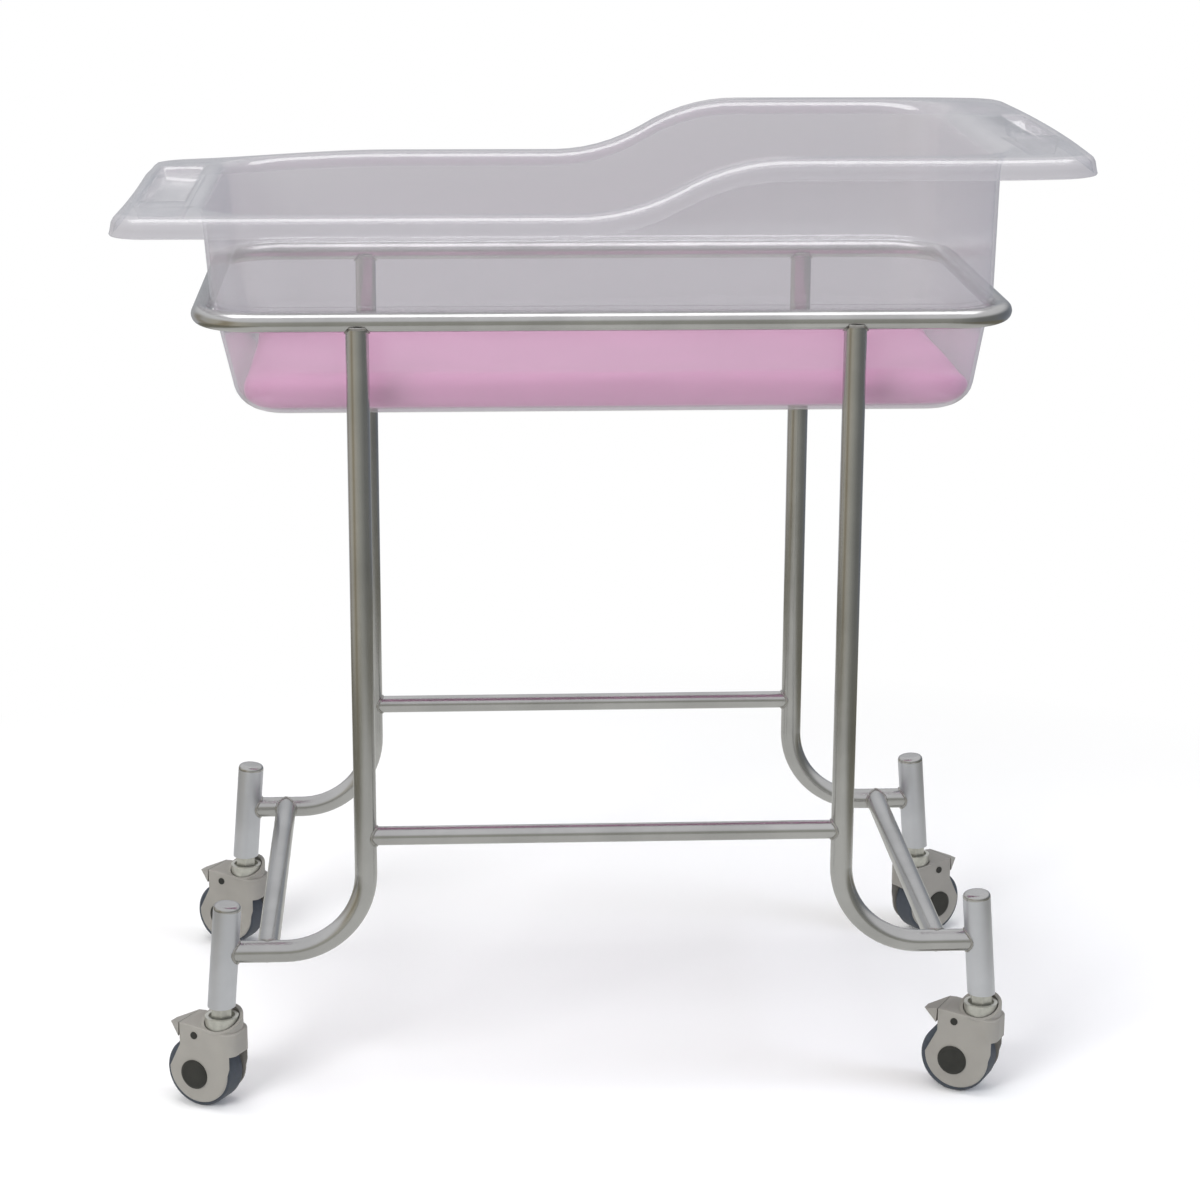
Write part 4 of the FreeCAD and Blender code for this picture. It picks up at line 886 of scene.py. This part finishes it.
FLOOR_RADIUS = 1.5
FLOOR_COLOUR = (0.97, 0.97, 0.97)
FADE_START, FADE_END = 0.55, 1.15
# Painted reflection: colours the floor glows with, seen only in gloss. They are a pale sheet under the
# bassinet, stretched across by the sides factor, and dark ground round it.
REFLECTED_SHEET_COLOUR = (0.62, 0.62, 0.60)
REFLECTED_SHEET_SIDES = (1.6, 1.0, 1.0)
REFLECTED_GROUND_COLOUR = (0.19, 0.18, 0.14)
FRONT_COLOUR = (0.50, 0.475, 0.41)
BEHIND_COLOUR = (0.50, 0.50, 0.515)
CEILING_COLOUR = (0.78, 0.78, 0.80)
WARM_SHADE = (0.66, 0.60, 0.49)
PLAIN_SHADE = (0.77, 0.81, 0.85)
DIM_SHADE = (0.38, 0.41, 0.46)
CEILING_START, CEILING_FULL = 0.15, 0.42
FILL_STRENGTH = 0.55
WHITE = (1.0, 1.0, 1.0)
BACKDROP_COLOUR = (0.52, 0.51, 0.535)


def floor():
    """A round pale floor that keeps the bassinet's shadow and fades to plain white further out.

    Gloss sees a painted reflection in place of the lit floor. The floor glows as a pale sheet, narrower
    across than from back to front, with darker glowing ground round it.
    """
    material, shader = new_material("floor")
    shader.inputs["Base Color"].default_value = (*FLOOR_COLOUR, 1.0)
    shader.inputs["Roughness"].default_value = 0.9
    shader.inputs["Specular IOR Level"].default_value = 0.0
    place = add(material, "ShaderNodeTexCoord").outputs["Object"]
    away = vector_maths(material, "LENGTH", place)
    white = add(material, "ShaderNodeEmission", Color=(*WHITE, 1.0))
    fade = from_range(material, away, FADE_START, FADE_END)
    seen = mix_shaders(material, fade, shader.outputs["BSDF"], white.outputs["Emission"])
    # Painted reflection: an emission that only glossy rays see, a pale glowing sheet fading to dark glowing
    # ground, in place of the floor's lit colour.
    painted_reflection = add(material, "ShaderNodeEmission")
    reach = vector_maths(material, "LENGTH", vector_maths(material, "MULTIPLY", place, REFLECTED_SHEET_SIDES))
    tones = [(0.0, REFLECTED_SHEET_COLOUR), (0.82, REFLECTED_SHEET_COLOUR), (0.95, REFLECTED_GROUND_COLOUR), (1.0, REFLECTED_GROUND_COLOUR)]
    tone = ramp(material, from_range(material, reach, 0.0, FLOOR_RADIUS), tones)
    link(material, tone, painted_reflection.inputs["Color"])
    path = add(material, "ShaderNodeLightPath")
    seen = mix_shaders(material, path.outputs["Is Glossy Ray"], seen, painted_reflection.outputs["Emission"])
    seen = mix_shaders(material, path.outputs["Is Transmission Ray"], seen, white.outputs["Emission"])
    link(material, seen, material.node_tree.nodes["Material Output"].inputs["Surface"])
    points = [
        (FLOOR_RADIUS * math.cos(math.radians(turn)), FLOOR_RADIUS * math.sin(math.radians(turn)), 0.0)
        for turn in range(0, 360, 5)
    ]
    mesh_object("floor", points, [tuple(range(len(points)))], material, smooth=False)


def studio_world():
    """White to the camera, and a pale grey backdrop through the clear plastic. Gloss sees a room.

    The room is bright behind the bassinet and above it and dimmer towards the camera, with a warm post
    at the left.
    """
    world = bpy.data.worlds.new("studio")
    bpy.context.scene.world = world
    world.use_nodes = True
    world.node_tree.nodes.clear()
    direction = add(world, "ShaderNodeTexCoord")
    split = add(world, "ShaderNodeSeparateXYZ")
    link(world, direction.outputs["Generated"], split.inputs["Vector"])
    depth = from_range(world, split.outputs["Y"], -1.0, 1.0)
    across = from_range(world, split.outputs["X"], -1.0, 1.0)
    walls = ramp(world, depth, [(0.0, FRONT_COLOUR), (0.45, FRONT_COLOUR), (0.75, BEHIND_COLOUR)])
    post = [(0.03, WHITE), (0.06, WARM_SHADE), (0.1, WARM_SHADE), (0.2, WHITE)]
    shades = ramp(world, across, [*post, (0.5, PLAIN_SHADE), (0.92, DIM_SHADE)])
    room = add(world, "ShaderNodeBackground")
    link(world, vector_maths(world, "MULTIPLY", walls, shades), room.inputs["Color"])
    ceiling = add(world, "ShaderNodeBackground", Color=(*CEILING_COLOUR, 1.0))
    fill = add(world, "ShaderNodeBackground", Color=(*WHITE, 1.0), Strength=FILL_STRENGTH)
    white = add(world, "ShaderNodeBackground", Color=(*WHITE, 1.0))
    above = from_range(world, split.outputs["Z"], CEILING_START, CEILING_FULL)
    reflected = mix_shaders(world, above, room.outputs["Background"], ceiling.outputs["Background"])
    path = add(world, "ShaderNodeLightPath")
    unseen = mix_shaders(world, path.outputs["Is Glossy Ray"], fill.outputs["Background"], reflected)
    backdrop = add(world, "ShaderNodeBackground", Color=(*BACKDROP_COLOUR, 1.0))
    veiled = from_range(world, path.outputs["Transparent Depth"], 0.0, 1.0)
    behind = mix_shaders(world, veiled, white.outputs["Background"], backdrop.outputs["Background"])
    straight = either(world, [path.outputs["Is Camera Ray"], path.outputs["Is Transmission Ray"]])
    seen = mix_shaders(world, straight, unseen, behind)
    output = add(world, "ShaderNodeOutputWorld")
    link(world, seen, output.inputs["Surface"])


def softbox(name, place, aim, size, power, colour=WHITE, glossy=None):
    """A rectangular lamp at a place, turned to a point. It lights all, or shows only in one thing's gloss."""
    lamp = bpy.data.lights.new(name, "AREA")
    lamp.shape = "RECTANGLE"
    lamp.size, lamp.size_y = size
    lamp.energy = power
    lamp.color = colour
    thing = bpy.data.objects.new(name, lamp)
    thing.location = place
    thing.rotation_euler = (Vector(aim) - Vector(place)).to_track_quat("-Z", "Y").to_euler()
    thing.visible_glossy = glossy is not None
    thing.visible_diffuse = glossy is None
    if glossy is not None:
        thing.light_linking.receiver_collection = bpy.data.collections.new(f"{name}_on")
        thing.light_linking.receiver_collection.objects.link(glossy)
    bpy.context.scene.collection.objects.link(thing)


floor()
studio_world()

MIDDLE = (0.0, 0.0, 0.5)
GLINT_PLACE = (0.0, -0.2, 2.5)
COOL = (0.78, 0.84, 1.0)
softbox("top_light", (-0.3, -0.2, 2.6), MIDDLE, (2.4, 1.8), 31.0)
softbox("front_light", (-1.6, -2.4, 1.9), MIDDLE, (1.2, 1.2), 55.0)
softbox("side_light", (2.4, -0.9, 1.5), MIDDLE, (1.0, 1.4), 22.0, COOL)
softbox("rim_glint", GLINT_PLACE, MIDDLE, (3.2, 1.2), 62.0, glossy=tub)
softbox("hoop_glint", GLINT_PLACE, MIDDLE, (3.2, 1.2), 28.0, glossy=frame["nodes"]["support_ring"])

CAMERA_PLACE = (-144.6 * MM, -2634.0 * MM, 1124.0 * MM)
CAMERA_TURN = 0.05698
CAMERA_DOWN = 0.2687
CAMERA_ROLL = 0.00457
FOCAL_PIXELS, FRAME_PIXELS, SENSOR_WIDTH = 3053.9, 1200.0, 36.0


def photo_camera():
    data = bpy.data.cameras.new("camera")
    data.sensor_width = SENSOR_WIDTH
    data.lens = FOCAL_PIXELS / FRAME_PIXELS * SENSOR_WIDTH
    data.clip_end = 50.0
    camera = bpy.data.objects.new("camera", data)
    turn = Matrix.Rotation(-CAMERA_TURN, 4, "Z")
    tilt = Matrix.Rotation(math.pi / 2.0 - CAMERA_DOWN, 4, "X")
    roll = Matrix.Rotation(CAMERA_ROLL, 4, "Z")
    camera.matrix_world = Matrix.Translation(CAMERA_PLACE) @ turn @ tilt @ roll
    bpy.context.scene.collection.objects.link(camera)
    bpy.context.scene.camera = camera


photo_camera()
bpy.context.scene.view_settings.view_transform = "Standard"
